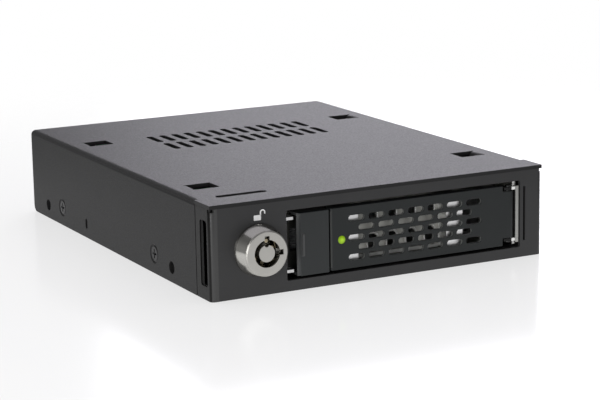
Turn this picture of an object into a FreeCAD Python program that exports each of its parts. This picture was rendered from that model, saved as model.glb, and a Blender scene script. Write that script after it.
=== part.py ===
import FreeCAD, Part
import math
import os
import re

import Sketcher

# A 3.5-inch bay adapter: a flat steel casing that takes one 2.5-inch drive on a locking, pull-out tray.
# Frame: +Z up, front towards -Y, origin at the middle of the casing's underside. Millimetres.

# Driving dimensions. Places named "left", "front" or "bottom" are measured from those casing edges.
SIZES = {
    # casing sheet metal
    "casing_width": 101.6,
    "casing_depth": 130.0,
    "casing_height": 25.4,
    "sheet": 1.0,
    "bend_radius": 1.5,
    "nest_gap": 0.1,
    "base_flange_height": 9.5,
    "cover_corner_radius": 2.0,
    # cover vents, hanging tabs and the window over the lock cam
    "vent_count": 13,
    "vent_pitch": 4.09,
    "vent_width": 2.1,
    "vent_length": 9.8,
    "vent_row_pitch": 12.6,
    "vent_front": 76.9,
    "tab_inset": 5.2,
    "tab_window_width": 7.7,
    "tab_window_length": 6.6,
    "tab_front": 20.8,
    "tab_pitch": 73.5,
    "tab_relief": 0.45,
    "tab_drop": 3.0,
    "cam_window_length": 14.6,
    "cam_window_width": 2.3,
    # side holes and countersinks for the cover screws
    "mount_front": 24.7,
    "mount_pitch": 92.5,
    "mount_height": 4.1,
    "mount_hole": 3.0,
    "mount_clearance_hole": 3.4,
    "screw_front": 36.4,
    "screw_pitch": 69.0,
    "screw_height": 5.5,
    "screw_head": 5.6,
    "screw_shank": 2.5,
    "key_slot_front": 86.0,
    "key_slot_height": 4.2,
    "key_slot_width": 1.5,
    "key_slot_length": 3.0,
    "thread_gap": 0.05,
    # front bezel
    "bezel_depth": 8.5,
    "seam_gap": 0.4,
    "bezel_edge_radius": 1.3,
    "bezel_fit": 0.1,
    "corner_relief": 0.9,
    "bezel_lip_depth": 7.0,
    "bezel_lip_inset": 3.0,
    "opening_left": 22.0,
    "opening_bottom": 2.9,
    "opening_corner": 0.3,
    "slit_strip": 1.0,
    "slit_width": 0.7,
    "slit_height": 15.2,
    "side_slot_front": 2.0,
    "side_slot_length": 4.0,
    "side_slot_height": 17.4,
    "side_slot_corner": 0.5,
    # tubular lock
    "lock_left": 13.75,
    "head_reach": 5.2,
    "head_shoulder": 1.0,
    "head_face": 12.0,
    "head_bevel": 0.3,
    "head_rim": 0.9,
    "barrel": 12.0,
    "keyway": 7.3,
    "keyway_depth": 6.0,
    "key_post": 4.5,
    "post_recess": 0.25,
    "notch_width": 1.4,
    "notch_reach": 4.65,
    "notch_depth": 2.4,
    "post_notch": 1.2,
    "lock_pin_count": 7,
    "lock_pin": 1.0,
    "lock_pin_recess": 3.2,
    "lock_run": 0.05,
    "nut_thick": 2.6,
    "nut_wall": 1.2,
    "cam_front": 8.75,
    "cam_thick": 1.5,
    "cam_gap": 0.25,
    "cam_recess": 0.8,
    "cam_hub": 10.0,
    "cam_tip_width": 6.4,
    # tray and its rails
    "tray_gap": 0.35,
    "tray_low_gap": 0.65,
    "tray_sheet": 0.8,
    "tray_bend": 1.2,
    "tray_length": 109.0,
    "tray_wall_height": 9.5,
    "tray_cheek_length": 9.0,
    "tray_cheek_slope": 7.0,
    "run_gap": 0.2,
    "rail_front": 12.0,
    "rail_length": 96.0,
    "rail_wall": 1.6,
    "rail_top": 15.0,
    "rail_ledge": 3.0,
    "rail_foot": 2.5,
    "rail_foot_thick": 1.6,
    "rail_lead": 4.0,
    "drive_width": 69.85,
    "drive_gap": 0.175,
    "drive_height": 15.0,
    "drive_headroom": 2.0,
    "drive_rear": 111.5,
    "drive_hole_rear": 14.0,
    "drive_hole_pitch": 76.6,
    "drive_hole_spread": 61.72,
    "drive_hole": 3.2,
    "floor_vent_columns": 3,
    "floor_vent_rows": 2,
    "floor_vent_length": 12.0,
    "floor_vent_pitch": 17.0,
    "floor_vent_width": 5.0,
    "floor_vent_row_pitch": 30.0,
    # tray front plate
    "plate_front": 5.5,
    "plate_sheet": 1.0,
    "hinge_cheek_front": 0.3,
    "cheek_notch_depth": 1.5,
    "cheek_notch_low": 0.8,
    "cheek_notch_high": 1.1,
    "hinge_ear_low_gap": 1.9,
    "hinge_ear_high_gap": 1.6,
    "ear_thick": 0.8,
    "ear_width": 2.4,
    "ear_front": 1.5,
    "ear_run": 0.2,
    "plate_lip": 4.5,
    "plate_lip_gap": 2.6,
    "plate_lip_setback": 3.15,
    "plate_window_setback": 6.7,
    "plate_window_width": 6.5,
    "plate_window_height": 12.0,
    "rib_gap": 0.35,
    "rib_half_height": 7.2,
    "lens_rib_setback": 2.0,
    "lens_rib_width": 3.7,
    "window_rib_setback": 1.5,
    "window_rib_width": 5.2,
    "grille_inset": 5.0,
    "grille_pitch": 5.95,
    "grille_width": 2.9,
    "grille_height": 4.2,
    "grille_row_pitch": 7.6,
    "grille_low": 5.4,
    # door and its hinge
    "door_gap": 0.6,
    "door_low_gap": 0.9,
    "door_high_gap": 1.1,
    "door_front": 0.1,
    "door_sheet": 1.0,
    "door_rim_depth": 3.0,
    "door_bevel": 0.4,
    "hinge_setback": 1.75,
    "knuckle_radius": 1.45,
    "knuckle_gap": 0.3,
    "notch_setback": 2.5,
    "hinge_pin": 1.6,
    "hinge_run": 0.05,
    "hinge_ear_reach": 1.7,
    "perforation_inset": 5.3,
    "perforation_margin": 7.0,
    "perforation_pitch": 6.1,
    "perforation_row_pitch": 2.65,
    "perforation_rows": 5,
    "perforation_drop": 0.2,
    "perforation_length": 4.8,
    "perforation_width": 1.7,
    "led_inset": 3.2,
    "led_height": 11.85,
    "led_lens": 2.2,
    "led_flange": 3.2,
    "led_flange_thick": 0.6,
    "lens_dome": 0.1,
    "lens_gap": 0.05,
    "door_spring_chord": 10.0,
    "door_spring_setback": 6.0,
    "door_spring_width": 3.0,
    "spring_strip": 0.3,
    "spring_gap": 0.3,
    # release button
    "button_gap": 3.4,
    "button_width": 9.2,
    "button_low_gap": 0.65,
    "button_high_gap": 1.2,
    "button_front": 0.15,
    "button_skin": 1.2,
    "button_wall": 0.8,
    "button_depth": 4.4,
    "button_bevel": 0.8,
    "button_travel": 2.0,
    "grip_inset": 1.2,
    "grip_width": 0.7,
    "grip_bottom": 9.0,
    "grip_height": 5.9,
    "grip_rise": 0.4,
    "stem_inset": 2.6,
    "stem_width": 4.0,
    "stem_height": 5.6,
    "stem_gap": 0.3,
    "latch_height": 3.0,
    "latch_thick": 1.2,
    "latch_gap": 0.2,
    "retainer_thick": 1.0,
    "retainer_width": 8.0,
    "retainer_height": 9.0,
    "button_spring_chord": 6.5,
    "button_spring_width": 1.0,
    # light guides
    "guide_side": 2.0,
    "guide_front": 8.5,
    "guide_height": 6.2,
    "guide_bend": 2.2,
    "guide_gap": 0.15,
    # backplane
    "board_front": 120.4,
    "board_thick": 1.6,
    "board_margin": 4.5,
    "board_bottom": 2.2,
    "board_height": 19.4,
    "standoff": 5.0,
    "standoff_inset": 5.2,
    "standoff_low": 3.8,
    "standoff_high": 15.6,
    "connector_offset": 4.8,
    "connector_width": 43.0,
    "connector_height": 6.0,
    "connector_reach": 9.0,
    "connector_drop": 3.5,
    "socket_depth": 6.0,
    "socket_height": 2.4,
    "socket_wall": 2.2,
    "socket_key": 1.6,
    "contact_pitch": 1.27,
    "contact_width": 0.6,
    "contact_thick": 0.25,
    "data_contacts": 7,
    "power_contacts": 15,
    "port_height": 6.2,
    "port_wall": 0.8,
    "port_tongue": 1.2,
    "port_tongue_margin": 2.0,
    "port_depth": 5.5,
    "port_middle": 10.4,
    "port_gap": 0.4,
    "port_setback": 0.3,
    "data_port_offset": 7.75,
    "power_port_offset": 26.25,
    "port_end_margin": 7.0,
    "led_chip": 1.6,
    "led_chip_thick": 0.8,
    "rear_vent_count": 8,
    "rear_vent_pitch": 5.2,
    "rear_vent_width": 2.0,
    "rear_vent_length": 3.4,
    "rear_vent_bottom": 17.2,
    "rear_vent_left": 38.0,
}

# Places and fits, worked out from the driving dimensions
PLACES = {
    "left": "-casing_width / 2",
    "right": "casing_width / 2",
    "front": "-casing_depth / 2",
    "rear": "casing_depth / 2",
    "roof": "casing_height - sheet",
    "inner_bend": "bend_radius - sheet",
    "cover_front": "front + bezel_depth + seam_gap",
    "base_half": "casing_width / 2 - sheet - nest_gap",
    "base_inner_half": "base_half - sheet",
    "base_rear_top": "roof - nest_gap",
    "opening_width": "drive_width + 2 * (drive_gap + tray_sheet + tray_gap)",
    "opening_height": "tray_low_gap + tray_gap + tray_sheet + drive_height + drive_headroom",
    "opening_x0": "left + opening_left",
    "opening_x1": "opening_x0 + opening_width",
    "opening_z1": "opening_bottom + opening_height",
    "middle_z": "opening_bottom + opening_height / 2",
    "lock_x": "left + lock_left",
    "lock_height": "middle_z",
    "head_base": "barrel + 2 * head_shoulder",
    "nut_flats": "barrel + 2 * nut_wall",
    "cam_reach": "casing_height - cam_recess - lock_height",
    "tray_x0": "opening_x0 + tray_gap",
    "tray_x1": "opening_x1 - tray_gap",
    "tray_mid": "(tray_x0 + tray_x1) / 2",
    "tray_half": "(tray_x1 - tray_x0) / 2",
    "tray_z0": "opening_bottom + tray_low_gap",
    "tray_z1": "opening_z1 - tray_gap",
    "tray_floor": "tray_z0 + tray_sheet",
    "plate_y0": "front + plate_front",
    "plate_y1": "plate_y0 + plate_sheet",
    "pan_y1": "front + tray_length",
    "drive_y1": "front + drive_rear",
    "drive_hole_y": "drive_y1 - drive_hole_rear - drive_hole_pitch",
    "cam_y0": "front + cam_front",
    "cam_y1": "cam_y0 + cam_thick",
    "cam_mid": "cam_y0 + cam_thick / 2",
    "rail_y0": "front + rail_front",
    "rail_y1": "rail_y0 + rail_length",
    "rail_inner": "tray_half + run_gap",
    "rail_outer": "rail_inner + rail_wall",
    "rail_ledge_top": "tray_z0 - run_gap",
    "guide_x": "tray_mid - rail_outer - guide_gap - guide_side / 2",
    "guide_y": "front + guide_front",
    "led_x": "door_x0 + led_inset",
    "hinge_x": "tray_x1 - plate_sheet - hinge_setback",
    "hinge_y": "front + door_front + knuckle_radius",
    "notch_x": "hinge_x - notch_setback",
    "door_x0": "button_x1 + door_gap",
    "door_y0": "front + door_front",
    "door_y1": "door_y0 + door_sheet",
    "door_bottom": "opening_bottom + door_low_gap",
    "door_top": "opening_z1 - door_high_gap",
    "perforation_x0": "door_x0 + perforation_inset",
    "perforation_z": "(door_bottom + door_top) / 2 - perforation_drop",
    "perforation_room": "notch_x - perforation_margin - perforation_x0 - perforation_length",
    "perforation_columns": "floor(perforation_room / perforation_pitch + 1.01)",
    "plate_window_x1": "hinge_x - plate_window_setback",
    "plate_window_x0": "plate_window_x1 - plate_window_width",
    "door_spring_x": "hinge_x - door_spring_setback",
    "rib_y0": "door_y1 + rib_gap",
    "lens_rib_x0": "led_x + lens_rib_setback",
    "lens_rib_x1": "lens_rib_x0 + lens_rib_width",
    "window_rib_x1": "plate_window_x0 - window_rib_setback",
    "window_rib_x0": "window_rib_x1 - window_rib_width",
    "grille_x0": "lens_rib_x1 + grille_inset",
    "grille_columns": "floor((window_rib_x0 - grille_x0 - grille_width) / grille_pitch + 1.01)",
    "grille_z0": "middle_z - grille_low",
    "plate_lip_x0": "led_x + plate_lip_gap",
    "plate_lip_x1": "tray_x1 - plate_lip_setback",
    "ear_bottom": "button_bottom + button_wall + ear_run",
    "ear_top": "button_top - button_wall - ear_run - ear_thick",
    "hinge_ear_top": "opening_z1 - hinge_ear_high_gap",
    "hinge_ear_bottom": "opening_bottom + hinge_ear_low_gap",
    "knuckle_bottom": "hinge_ear_bottom + ear_thick + knuckle_gap",
    "knuckle_top": "hinge_ear_top - ear_thick - knuckle_gap",
    "button_x0": "opening_x0 + button_gap",
    "button_x1": "button_x0 + button_width",
    "button_y0": "front + button_front",
    "button_y1": "button_y0 + button_depth",
    "button_bottom": "opening_bottom + button_low_gap",
    "button_top": "opening_z1 - button_high_gap",
    "grip_x0": "button_x0 + grip_inset",
    "stem_x0": "button_x0 + stem_inset",
    "stem_x1": "stem_x0 + stem_width",
    "stem_mid": "stem_x0 + stem_width / 2",
    "stem_end": "plate_y1 + stem_gap",
    "retainer_y1": "stem_end + retainer_thick",
    "retainer_x0": "stem_mid - retainer_width / 2",
    "board_y0": "front + board_front",
    "board_y1": "board_y0 + board_thick",
    "board_x0": "tray_x0 - board_margin",
    "board_x1": "tray_x1 + board_margin",
    "rear_wall": "rear - sheet",
    "connector_mid": "tray_mid - connector_offset",
    "connector_z": "tray_floor + connector_drop",
    "data_row": "(data_contacts - 1) * contact_pitch",
    "power_row": "(power_contacts - 1) * contact_pitch",
    "data_port_x0": "tray_mid + data_port_offset",
    "power_port_x0": "tray_mid - power_port_offset",
    "socket_half": "connector_width / 2 - socket_wall",
}

doc = FreeCAD.newDocument("drive_bay_adapter")
sheet = doc.addObject("Spreadsheet::Sheet", "Sizes")
for row, (alias, size) in enumerate(SIZES.items(), 1):
    sheet.set(f"A{row}", alias)
    sheet.set(f"B{row}", str(size))
    sheet.setAlias(f"B{row}", alias)
doc.recompute()

NODES = []


# Formulas: words of SIZES and PLACES become spreadsheet cells

def expand(formula):
    """Write a formula of size and place names as an expression on the spreadsheet."""
    def swap(match):
        word = match.group(0)
        if word in SIZES:
            return f"Sizes.{word}"
        if word in PLACES:
            return f"({expand(PLACES[word])})"
        return word
    return re.sub(r"[a-z_][a-z0-9_]*", swap, str(formula))


def number(formula):
    """Give a formula's present value."""
    return float(sheet.evalExpression(expand(formula)))


def count(formula):
    """Give a formula's present value as a whole number."""
    return int(round(number(formula)))


def bind(thing, **formulas):
    """Bind properties of a document object to formulas."""
    for name, formula in formulas.items():
        thing.setExpression(name, expand(formula))
    return thing


def place(thing, x="0", y="0", z="0", turn=None):
    """Bind a document object's place, with an optional fixed turn."""
    if turn is not None:
        thing.Placement = FreeCAD.Placement(FreeCAD.Vector(), turn)
    for axis, formula in zip("xyz", (x, y, z)):
        thing.setExpression(f"Placement.Base.{axis}", expand(formula))
    return thing


def node(thing, name):
    """Make a document object one of the part's pieces."""
    thing.Label = name
    NODES.append(thing)
    return thing


# Sketches: every corner is tied to the sketch's origin by formulas

def origin_item(body, role):
    """Find one of a body's own axes or planes."""
    return next(item for item in body.Origin.OriginFeatures if item.Role == role)


def new_sketch(body, plane, offset):
    """Start a sketch on one of a body's own planes, moved along the plane's normal."""
    sketch = body.newObject("Sketcher::SketchObject", "Sketch")
    sketch.AttachmentSupport = [(origin_item(body, plane), "")]
    sketch.MapMode = "FlatFace"
    sketch.setExpression(".AttachmentOffset.Base.z", expand(offset))
    return sketch


def tie(sketch, kind, formula, *ends):
    """Add a size constraint that follows a formula."""
    index = sketch.addConstraint(Sketcher.Constraint(kind, *ends, number(formula)))
    sketch.setExpression(f"Constraints[{index}]", expand(formula))


def tie_point(sketch, geometry, end, x, y):
    """Tie one end of a line or arc, or a centre, to a place in the sketch."""
    tie(sketch, "DistanceX", x, -1, 1, geometry, end)
    tie(sketch, "DistanceY", y, -1, 1, geometry, end)


def outline(sketch, corners):
    """Draw a closed outline of straight edges; a third value rounds a square corner to that radius."""
    total = len(corners)
    values = [(number(corner[0]), number(corner[1])) for corner in corners]
    runs = []
    for index, corner in enumerate(corners):
        x, y = corner[0], corner[1]
        if len(corner) == 2:
            runs.append([(x, y)])
            continue
        ends = []
        for other in ((index - 1) % total, (index + 1) % total):
            step_x = values[other][0] - values[index][0]
            step_y = values[other][1] - values[index][1]
            if abs(step_x) > abs(step_y):
                ends.append((f"({x}) {'+' if step_x > 0 else '-'} ({corner[2]})", y))
            else:
                ends.append((x, f"({y}) {'+' if step_y > 0 else '-'} ({corner[2]})"))
        runs.append(ends)
    pieces = []
    for index, run in enumerate(runs):
        if len(run) == 2:
            pieces.append((run[0], run[1], corners[index]))
        pieces.append((run[-1], runs[(index + 1) % total][0], None))
    first = sketch.GeometryCount
    for start, end, corner in pieces:
        begin = FreeCAD.Vector(number(start[0]), number(start[1]), 0)
        finish = FreeCAD.Vector(number(end[0]), number(end[1]), 0)
        if corner is None:
            sketch.addGeometry(Part.LineSegment(begin, finish))
            continue
        sharp = FreeCAD.Vector(number(corner[0]), number(corner[1]), 0)
        centre = begin + finish - sharp
        middle = centre + (sharp - centre).normalize() * number(corner[2])
        sketch.addGeometry(Part.Arc(begin, middle, finish))
    joins = []
    for index, (start, end, corner) in enumerate(pieces):
        following = (index + 1) % len(pieces)
        joins.append((arc_end(sketch, first + index, end), arc_end(sketch, first + following, end)))
    for one, two in joins:
        sketch.addConstraint(Sketcher.Constraint("Coincident", *one, *two))
    for index, (start, end, corner) in enumerate(pieces):
        tie_point(sketch, *arc_end(sketch, first + index, start), *start)
        if corner is not None:
            tie(sketch, "Radius", corner[2], first + index)


def arc_end(sketch, geometry, spot):
    """Find which end of a sketch line or arc lies at a spot."""
    target = FreeCAD.Vector(number(spot[0]), number(spot[1]), 0)
    first = sketch.getPoint(geometry, 1)
    last = sketch.getPoint(geometry, 2)
    return (geometry, 1 if first.distanceToPoint(target) < last.distanceToPoint(target) else 2)


def rectangle(sketch, x0, y0, x1, y1, radius=None):
    """Draw a rectangle, with rounded corners if a radius is given."""
    corners = [(x0, y0), (x1, y0), (x1, y1), (x0, y1)]
    if radius is not None:
        corners = [(x, y, radius) for x, y in corners]
    outline(sketch, corners)


def circle(sketch, x, y, diameter):
    """Draw a circle."""
    centre = FreeCAD.Vector(number(x), number(y), 0)
    index = sketch.addGeometry(Part.Circle(centre, FreeCAD.Vector(0, 0, 1), number(diameter) / 2))
    tie_point(sketch, index, 3, x, y)
    tie(sketch, "Diameter", diameter, index)


def cut_rectangle(sketch, x0, y0, x1, y1, leg):
    """Draw a rectangle with its corners cut off at 45 degrees."""
    left_x, right_x = f"({x0}) + ({leg})", f"({x1}) - ({leg})"
    low_y, high_y = f"({y0}) + ({leg})", f"({y1}) - ({leg})"
    outline(sketch, [(left_x, y0), (right_x, y0), (x1, low_y), (x1, high_y),
                     (right_x, y1), (left_x, y1), (x0, high_y), (x0, low_y)])


def oblong(sketch, x0, x1, y0, y1):
    """Draw an oblong whose ends are half octagons, which keeps repeated holes light."""
    flat = number(f"({x1}) - ({x0})") > number(f"({y1}) - ({y0})")
    across = f"(({y1}) - ({y0}))" if flat else f"(({x1}) - ({x0}))"
    cut_rectangle(sketch, x0, y0, x1, y1, f"{across} * (1 - sqrt(0.5))")


# Solid features: a slab is added, and a cut taken away, between two places along an axis

PLANE_OF = {"x": "YZ_Plane", "y": "XZ_Plane", "z": "XY_Plane"}


def new_body(name):
    """Start one piece as a body of features."""
    body = doc.addObject("PartDesign::Body", name)
    doc.recompute()
    return node(body, name)


def slab(body, axis, start, end, draw):
    """Add material between two places along an axis, over what draw puts in the sketch."""
    offset = f"-({end})" if axis == "y" else start
    sketch = new_sketch(body, PLANE_OF[axis], offset)
    draw(sketch)
    pad = body.newObject("PartDesign::Pad", "Pad")
    pad.Profile = sketch
    bind(pad, Length=f"({end}) - ({start})")
    doc.recompute()
    return pad


def cut(body, axis, start, end, draw):
    """Take material away between two places along an axis, over what draw puts in the sketch."""
    before = body.Shape.Volume
    offset = f"-({start})" if axis == "y" else end
    sketch = new_sketch(body, PLANE_OF[axis], offset)
    draw(sketch)
    pocket = body.newObject("PartDesign::Pocket", "Pocket")
    pocket.Profile = sketch
    bind(pocket, Length=f"({end}) - ({start})")
    doc.recompute()
    if body.Shape.Volume >= before:
        raise RuntimeError(f"a cut in {body.Label} takes nothing away")
    return pocket


def turned(body, draw):
    """Turn what draw puts in a sketch round the body's own Y axis."""
    sketch = new_sketch(body, "XY_Plane", "0")
    draw(sketch)
    feature = body.newObject("PartDesign::Revolution", "Revolution")
    feature.Profile = sketch
    feature.ReferenceAxis = (sketch, ["V_Axis"])
    feature.Angle = 360
    doc.recompute()
    return feature


def pattern_step(body, axis, spacing, occurrences):
    """Make one direction of a repeat."""
    step = body.newObject("PartDesign::LinearPattern", "LinearPattern")
    step.Direction = (origin_item(body, f"{axis.upper()}_Axis"), [""])
    step.Mode = "Spacing"
    bind(step, Offset=spacing, Occurrences=occurrences)
    return step


def mirror_step(body, plane):
    """Make a reflection in one of the body's own planes."""
    step = body.newObject("PartDesign::Mirrored", "Mirrored")
    step.MirrorPlane = (origin_item(body, plane), [""])
    return step


def repeat(body, features, *steps):
    """Repeat features by one or more pattern or mirror steps."""
    if len(steps) == 1:
        result = steps[0]
        result.Originals = features
    else:
        result = body.newObject("PartDesign::MultiTransform", "MultiTransform")
        result.Originals = features
        result.Transformations = list(steps)
    body.Tip = result
    doc.recompute()
    return result


def edges_at(body, **spots):
    """Name the body's edges that lie wholly at the given places, such as x=... and y=..."""
    names = []
    for index, edge in enumerate(body.Shape.Edges, 1):
        box = edge.BoundBox
        low = {"x": box.XMin, "y": box.YMin, "z": box.ZMin}
        high = {"x": box.XMax, "y": box.YMax, "z": box.ZMax}
        near = 1e-4
        if all(abs(low[a] - number(f)) < near and abs(high[a] - number(f)) < near for a, f in spots.items()):
            names.append(f"Edge{index}")
    return names


def ease_edges(body, kind, size, names):
    """Fillet or chamfer named edges of a body."""
    base = body.Tip
    feature = body.newObject(f"PartDesign::{kind}", kind)
    feature.Base = (base, names)
    bind(feature, **{"Radius" if kind == "Fillet" else "Size": size})
    doc.recompute()
    return feature


# Simple solids for rods, prisms, countersinks and blocks

TURNS = {
    "+x": FreeCAD.Rotation(FreeCAD.Vector(0, 1, 0), 90),
    "-x": FreeCAD.Rotation(FreeCAD.Vector(0, 1, 0), -90),
    "+y": FreeCAD.Rotation(FreeCAD.Vector(1, 0, 0), -90),
    "-y": FreeCAD.Rotation(FreeCAD.Vector(1, 0, 0), 90),
    "+z": FreeCAD.Rotation(),
    "-z": FreeCAD.Rotation(FreeCAD.Vector(1, 0, 0), 180),
}


def rod(way, at, diameter, length):
    """Make a round rod that starts at a place and runs one way."""
    thing = doc.addObject("Part::Cylinder", "Rod")
    bind(thing, Radius=f"({diameter}) / 2", Height=length)
    return place(thing, *at, turn=TURNS[way])


def cone(way, at, diameter, end_diameter, length):
    """Make a round taper that starts at a place and runs one way."""
    thing = doc.addObject("Part::Cone", "Cone")
    bind(thing, Radius1=f"({diameter}) / 2", Radius2=f"({end_diameter}) / 2", Height=length)
    return place(thing, *at, turn=TURNS[way])


def prism(way, at, sides, flats, length, spin=0):
    """Make a regular prism of a size across flats that starts at a place and runs one way."""
    thing = doc.addObject("Part::Prism", "Prism")
    thing.Polygon = sides
    bind(thing, Circumradius=f"({flats}) / 2 / cos(180 deg / {sides})", Height=length)
    turn = TURNS[way].multiply(FreeCAD.Rotation(FreeCAD.Vector(0, 0, 1), spin))
    return place(thing, *at, turn=turn)


def block(x0, x1, y0, y1, z0, z1):
    """Make a plain block between six places."""
    thing = doc.addObject("Part::Box", "Block")
    bind(thing, Length=f"({x1}) - ({x0})", Width=f"({y1}) - ({y0})", Height=f"({z1}) - ({z0})")
    return place(thing, x0, y0, z0)


def subtract(base, *tools):
    """Take solids away from a solid."""
    result = doc.addObject("Part::Cut", "Cut")
    result.Base = base
    result.Tool = tools[0] if len(tools) == 1 else group(*tools)
    return result


def group(*things):
    """Hold separate solids together as one document object."""
    held = doc.addObject("Part::Compound", "Group")
    held.Links = list(things)
    return held


def bent_bar(points, side, bend):
    """Sweep a square section along straight runs joined by arcs of one radius."""
    spots = [FreeCAD.Vector(*(number(value) for value in point)) for point in points]
    radius = number(bend)
    edges = []
    start = spots[0]
    for before, corner, after in zip(spots, spots[1:], spots[2:]):
        into = (corner - before).normalize()
        out = (after - corner).normalize()
        turn = into.getAngle(out)
        reach = radius * math.tan(turn / 2)
        begin = corner - into * reach
        finish = corner + out * reach
        inward = (out - into).normalize()
        middle = corner + inward * (radius / math.cos(turn / 2) - radius)
        edges.append(Part.LineSegment(start, begin).toShape())
        edges.append(Part.Arc(begin, middle, finish).toShape())
        start = finish
    edges.append(Part.LineSegment(start, spots[-1]).toShape())
    along = (spots[1] - spots[0]).normalize()
    upright = FreeCAD.Vector(0, 0, number(side) / 2)
    across = along.cross(upright)
    section = Part.makePolygon([spots[0] + upright + across, spots[0] + upright - across,
                                spots[0] - upright - across, spots[0] - upright + across,
                                spots[0] + upright + across])
    thing = doc.addObject("Part::Feature", "BentBar")
    thing.Shape = Part.Wire(edges).makePipeShell([section], True, False)
    return thing


# Casing

def make_base_plate():
    """Floor, two inner side flanges and the rear wall, bent from one sheet."""
    body = new_body("base_plate")
    near = "front + sheet + bezel_fit"
    shoulder = "front + bezel_depth"
    wide = "(casing_width / 2 - sheet - bezel_fit)"
    narrow = "(base_half - bend_radius)"
    slab(body, "z", "0", "sheet", lambda sketch: outline(sketch, [
        (f"-{wide}", near), (wide, near), (wide, shoulder), (narrow, shoulder),
        (narrow, "rear - bend_radius"), (f"-{narrow}", "rear - bend_radius"),
        (f"-{narrow}", shoulder), (f"-{wide}", shoulder)]))
    flange = slab(body, "y", "cover_front", "rear - bend_radius - sheet", lambda sketch: outline(sketch, [
        ("-base_half", "0", "bend_radius"), (f"-{narrow} + sheet", "0"), (f"-{narrow} + sheet", "sheet"),
        ("-base_inner_half", "sheet", "inner_bend"), ("-base_inner_half", "base_flange_height"),
        ("-base_half", "base_flange_height")]))
    repeat(body, [flange], mirror_step(body, "YZ_Plane"))
    knee = "bend_radius + sheet"
    slab(body, "x", f"-{narrow}", narrow, lambda sketch: outline(sketch, [
        ("rear", "0", "bend_radius"), ("rear", knee), ("rear - sheet", knee),
        ("rear - sheet", "sheet", "inner_bend"), (f"rear - ({knee})", "sheet"), (f"rear - ({knee})", "0")]))
    slab(body, "y", "rear_wall", "rear", lambda sketch: outline(sketch, [
        ("-base_half", knee), ("base_half", knee), ("base_half", "base_rear_top", "bend_radius"),
        ("-base_half", "base_rear_top", "bend_radius")]))

    def port_windows(sketch):
        half = "(port_height / 2 + port_gap)"
        for port, row in (("data_port_x0", "data_row"), ("power_port_x0", "power_row")):
            x0 = f"{port} - port_gap"
            x1 = f"{port} + {row} + port_end_margin + port_gap"
            rectangle(sketch, x0, f"port_middle - {half}", x1, f"port_middle + {half}")
    cut(body, "y", "rear_wall", "rear", port_windows)
    vent = cut(body, "y", "rear_wall", "rear", lambda sketch: rectangle(
        sketch, "left + rear_vent_left", "rear_vent_bottom",
        "left + rear_vent_left + rear_vent_width", "rear_vent_bottom + rear_vent_length"))
    repeat(body, [vent], pattern_step(body, "x", "rear_vent_pitch", "rear_vent_count"))

    def mount_holes(sketch):
        for index in range(2):
            circle(sketch, f"front + mount_front + {index} * mount_pitch", "mount_height", "mount_hole")
    cut(body, "x", "-base_half", "base_half", mount_holes)


def make_top_cover():
    """Roof with two side flanges; the roof runs on over the bezel."""
    body = doc.addObject("PartDesign::Body", "cover_sheet")
    doc.recompute()
    slab(body, "y", "cover_front", "rear", lambda sketch: outline(sketch, [
        ("left", "0"), ("left", "casing_height", "bend_radius"), ("right", "casing_height", "bend_radius"),
        ("right", "0"), ("right - sheet", "0"), ("right - sheet", "roof", "inner_bend"),
        ("left + sheet", "roof", "inner_bend"), ("left + sheet", "0")]))
    slab(body, "z", "roof", "casing_height", lambda sketch: rectangle(
        sketch, "left", "front", "right", "cover_front"))
    ease_edges(body, "Fillet", "cover_corner_radius", edges_at(body, y="rear", z="0"))
    cut(body, "z", "roof", "casing_height", lambda sketch: oblong(
        sketch, "lock_x - cam_window_length / 2", "lock_x + cam_window_length / 2",
        "cam_mid - cam_window_width / 2", "cam_mid + cam_window_width / 2"))
    vent_x = "-(vent_count - 1) * vent_pitch / 2"
    vent = cut(body, "z", "roof", "casing_height", lambda sketch: oblong(
        sketch, f"{vent_x} - vent_width / 2", f"{vent_x} + vent_width / 2",
        "front + vent_front", "front + vent_front + vent_length"))
    repeat(body, [vent], pattern_step(body, "x", "vent_pitch", "vent_count"),
           pattern_step(body, "y", "vent_row_pitch", "2"))
    make_hanging_tabs(body)

    slot = "front + key_slot_front"
    cut(body, "x", "left", "right", lambda sketch: oblong(
        sketch, f"{slot} - key_slot_width / 2", f"{slot} + key_slot_width / 2",
        "key_slot_height - key_slot_length / 2", "key_slot_height + key_slot_length / 2"))
    holes = []
    for side, way in (("left", "+x"), ("right", "-x")):
        for index in range(2):
            hole_at = (side, f"front + mount_front + {index} * mount_pitch", "mount_height")
            holes.append(prism(way, hole_at, 12, "mount_clearance_hole", "sheet"))
            screw_at = (side, f"front + screw_front + {index} * screw_pitch", "screw_height")
            holes.append(cone(way, screw_at, "screw_head", "screw_shank", "sheet"))
    node(subtract(body, *holes), "top_cover")


def make_hanging_tabs(body):
    """Four windows in the roof, each with a tab bent down from its outer edge."""
    edge = "left + tab_inset"
    near = "front + tab_front"
    far = f"{near} + tab_window_length"
    window = cut(body, "z", "roof", "casing_height", lambda sketch: rectangle(
        sketch, edge, near, f"{edge} + tab_window_width", far))
    convex = f"{edge} + bend_radius"
    tab = slab(body, "y", f"{near} + tab_relief", f"{far} - tab_relief", lambda sketch: outline(sketch, [
        (f"{edge} - sheet", "casing_height"), (f"{edge} - sheet", "roof"),
        (f"{convex} - sheet", "roof", "inner_bend"), (f"{convex} - sheet", "roof - tab_drop"),
        (convex, "roof - tab_drop"), (convex, "casing_height", "bend_radius")]))
    repeat(body, [window, tab], pattern_step(body, "y", "tab_pitch", "2"), mirror_step(body, "YZ_Plane"))


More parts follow.
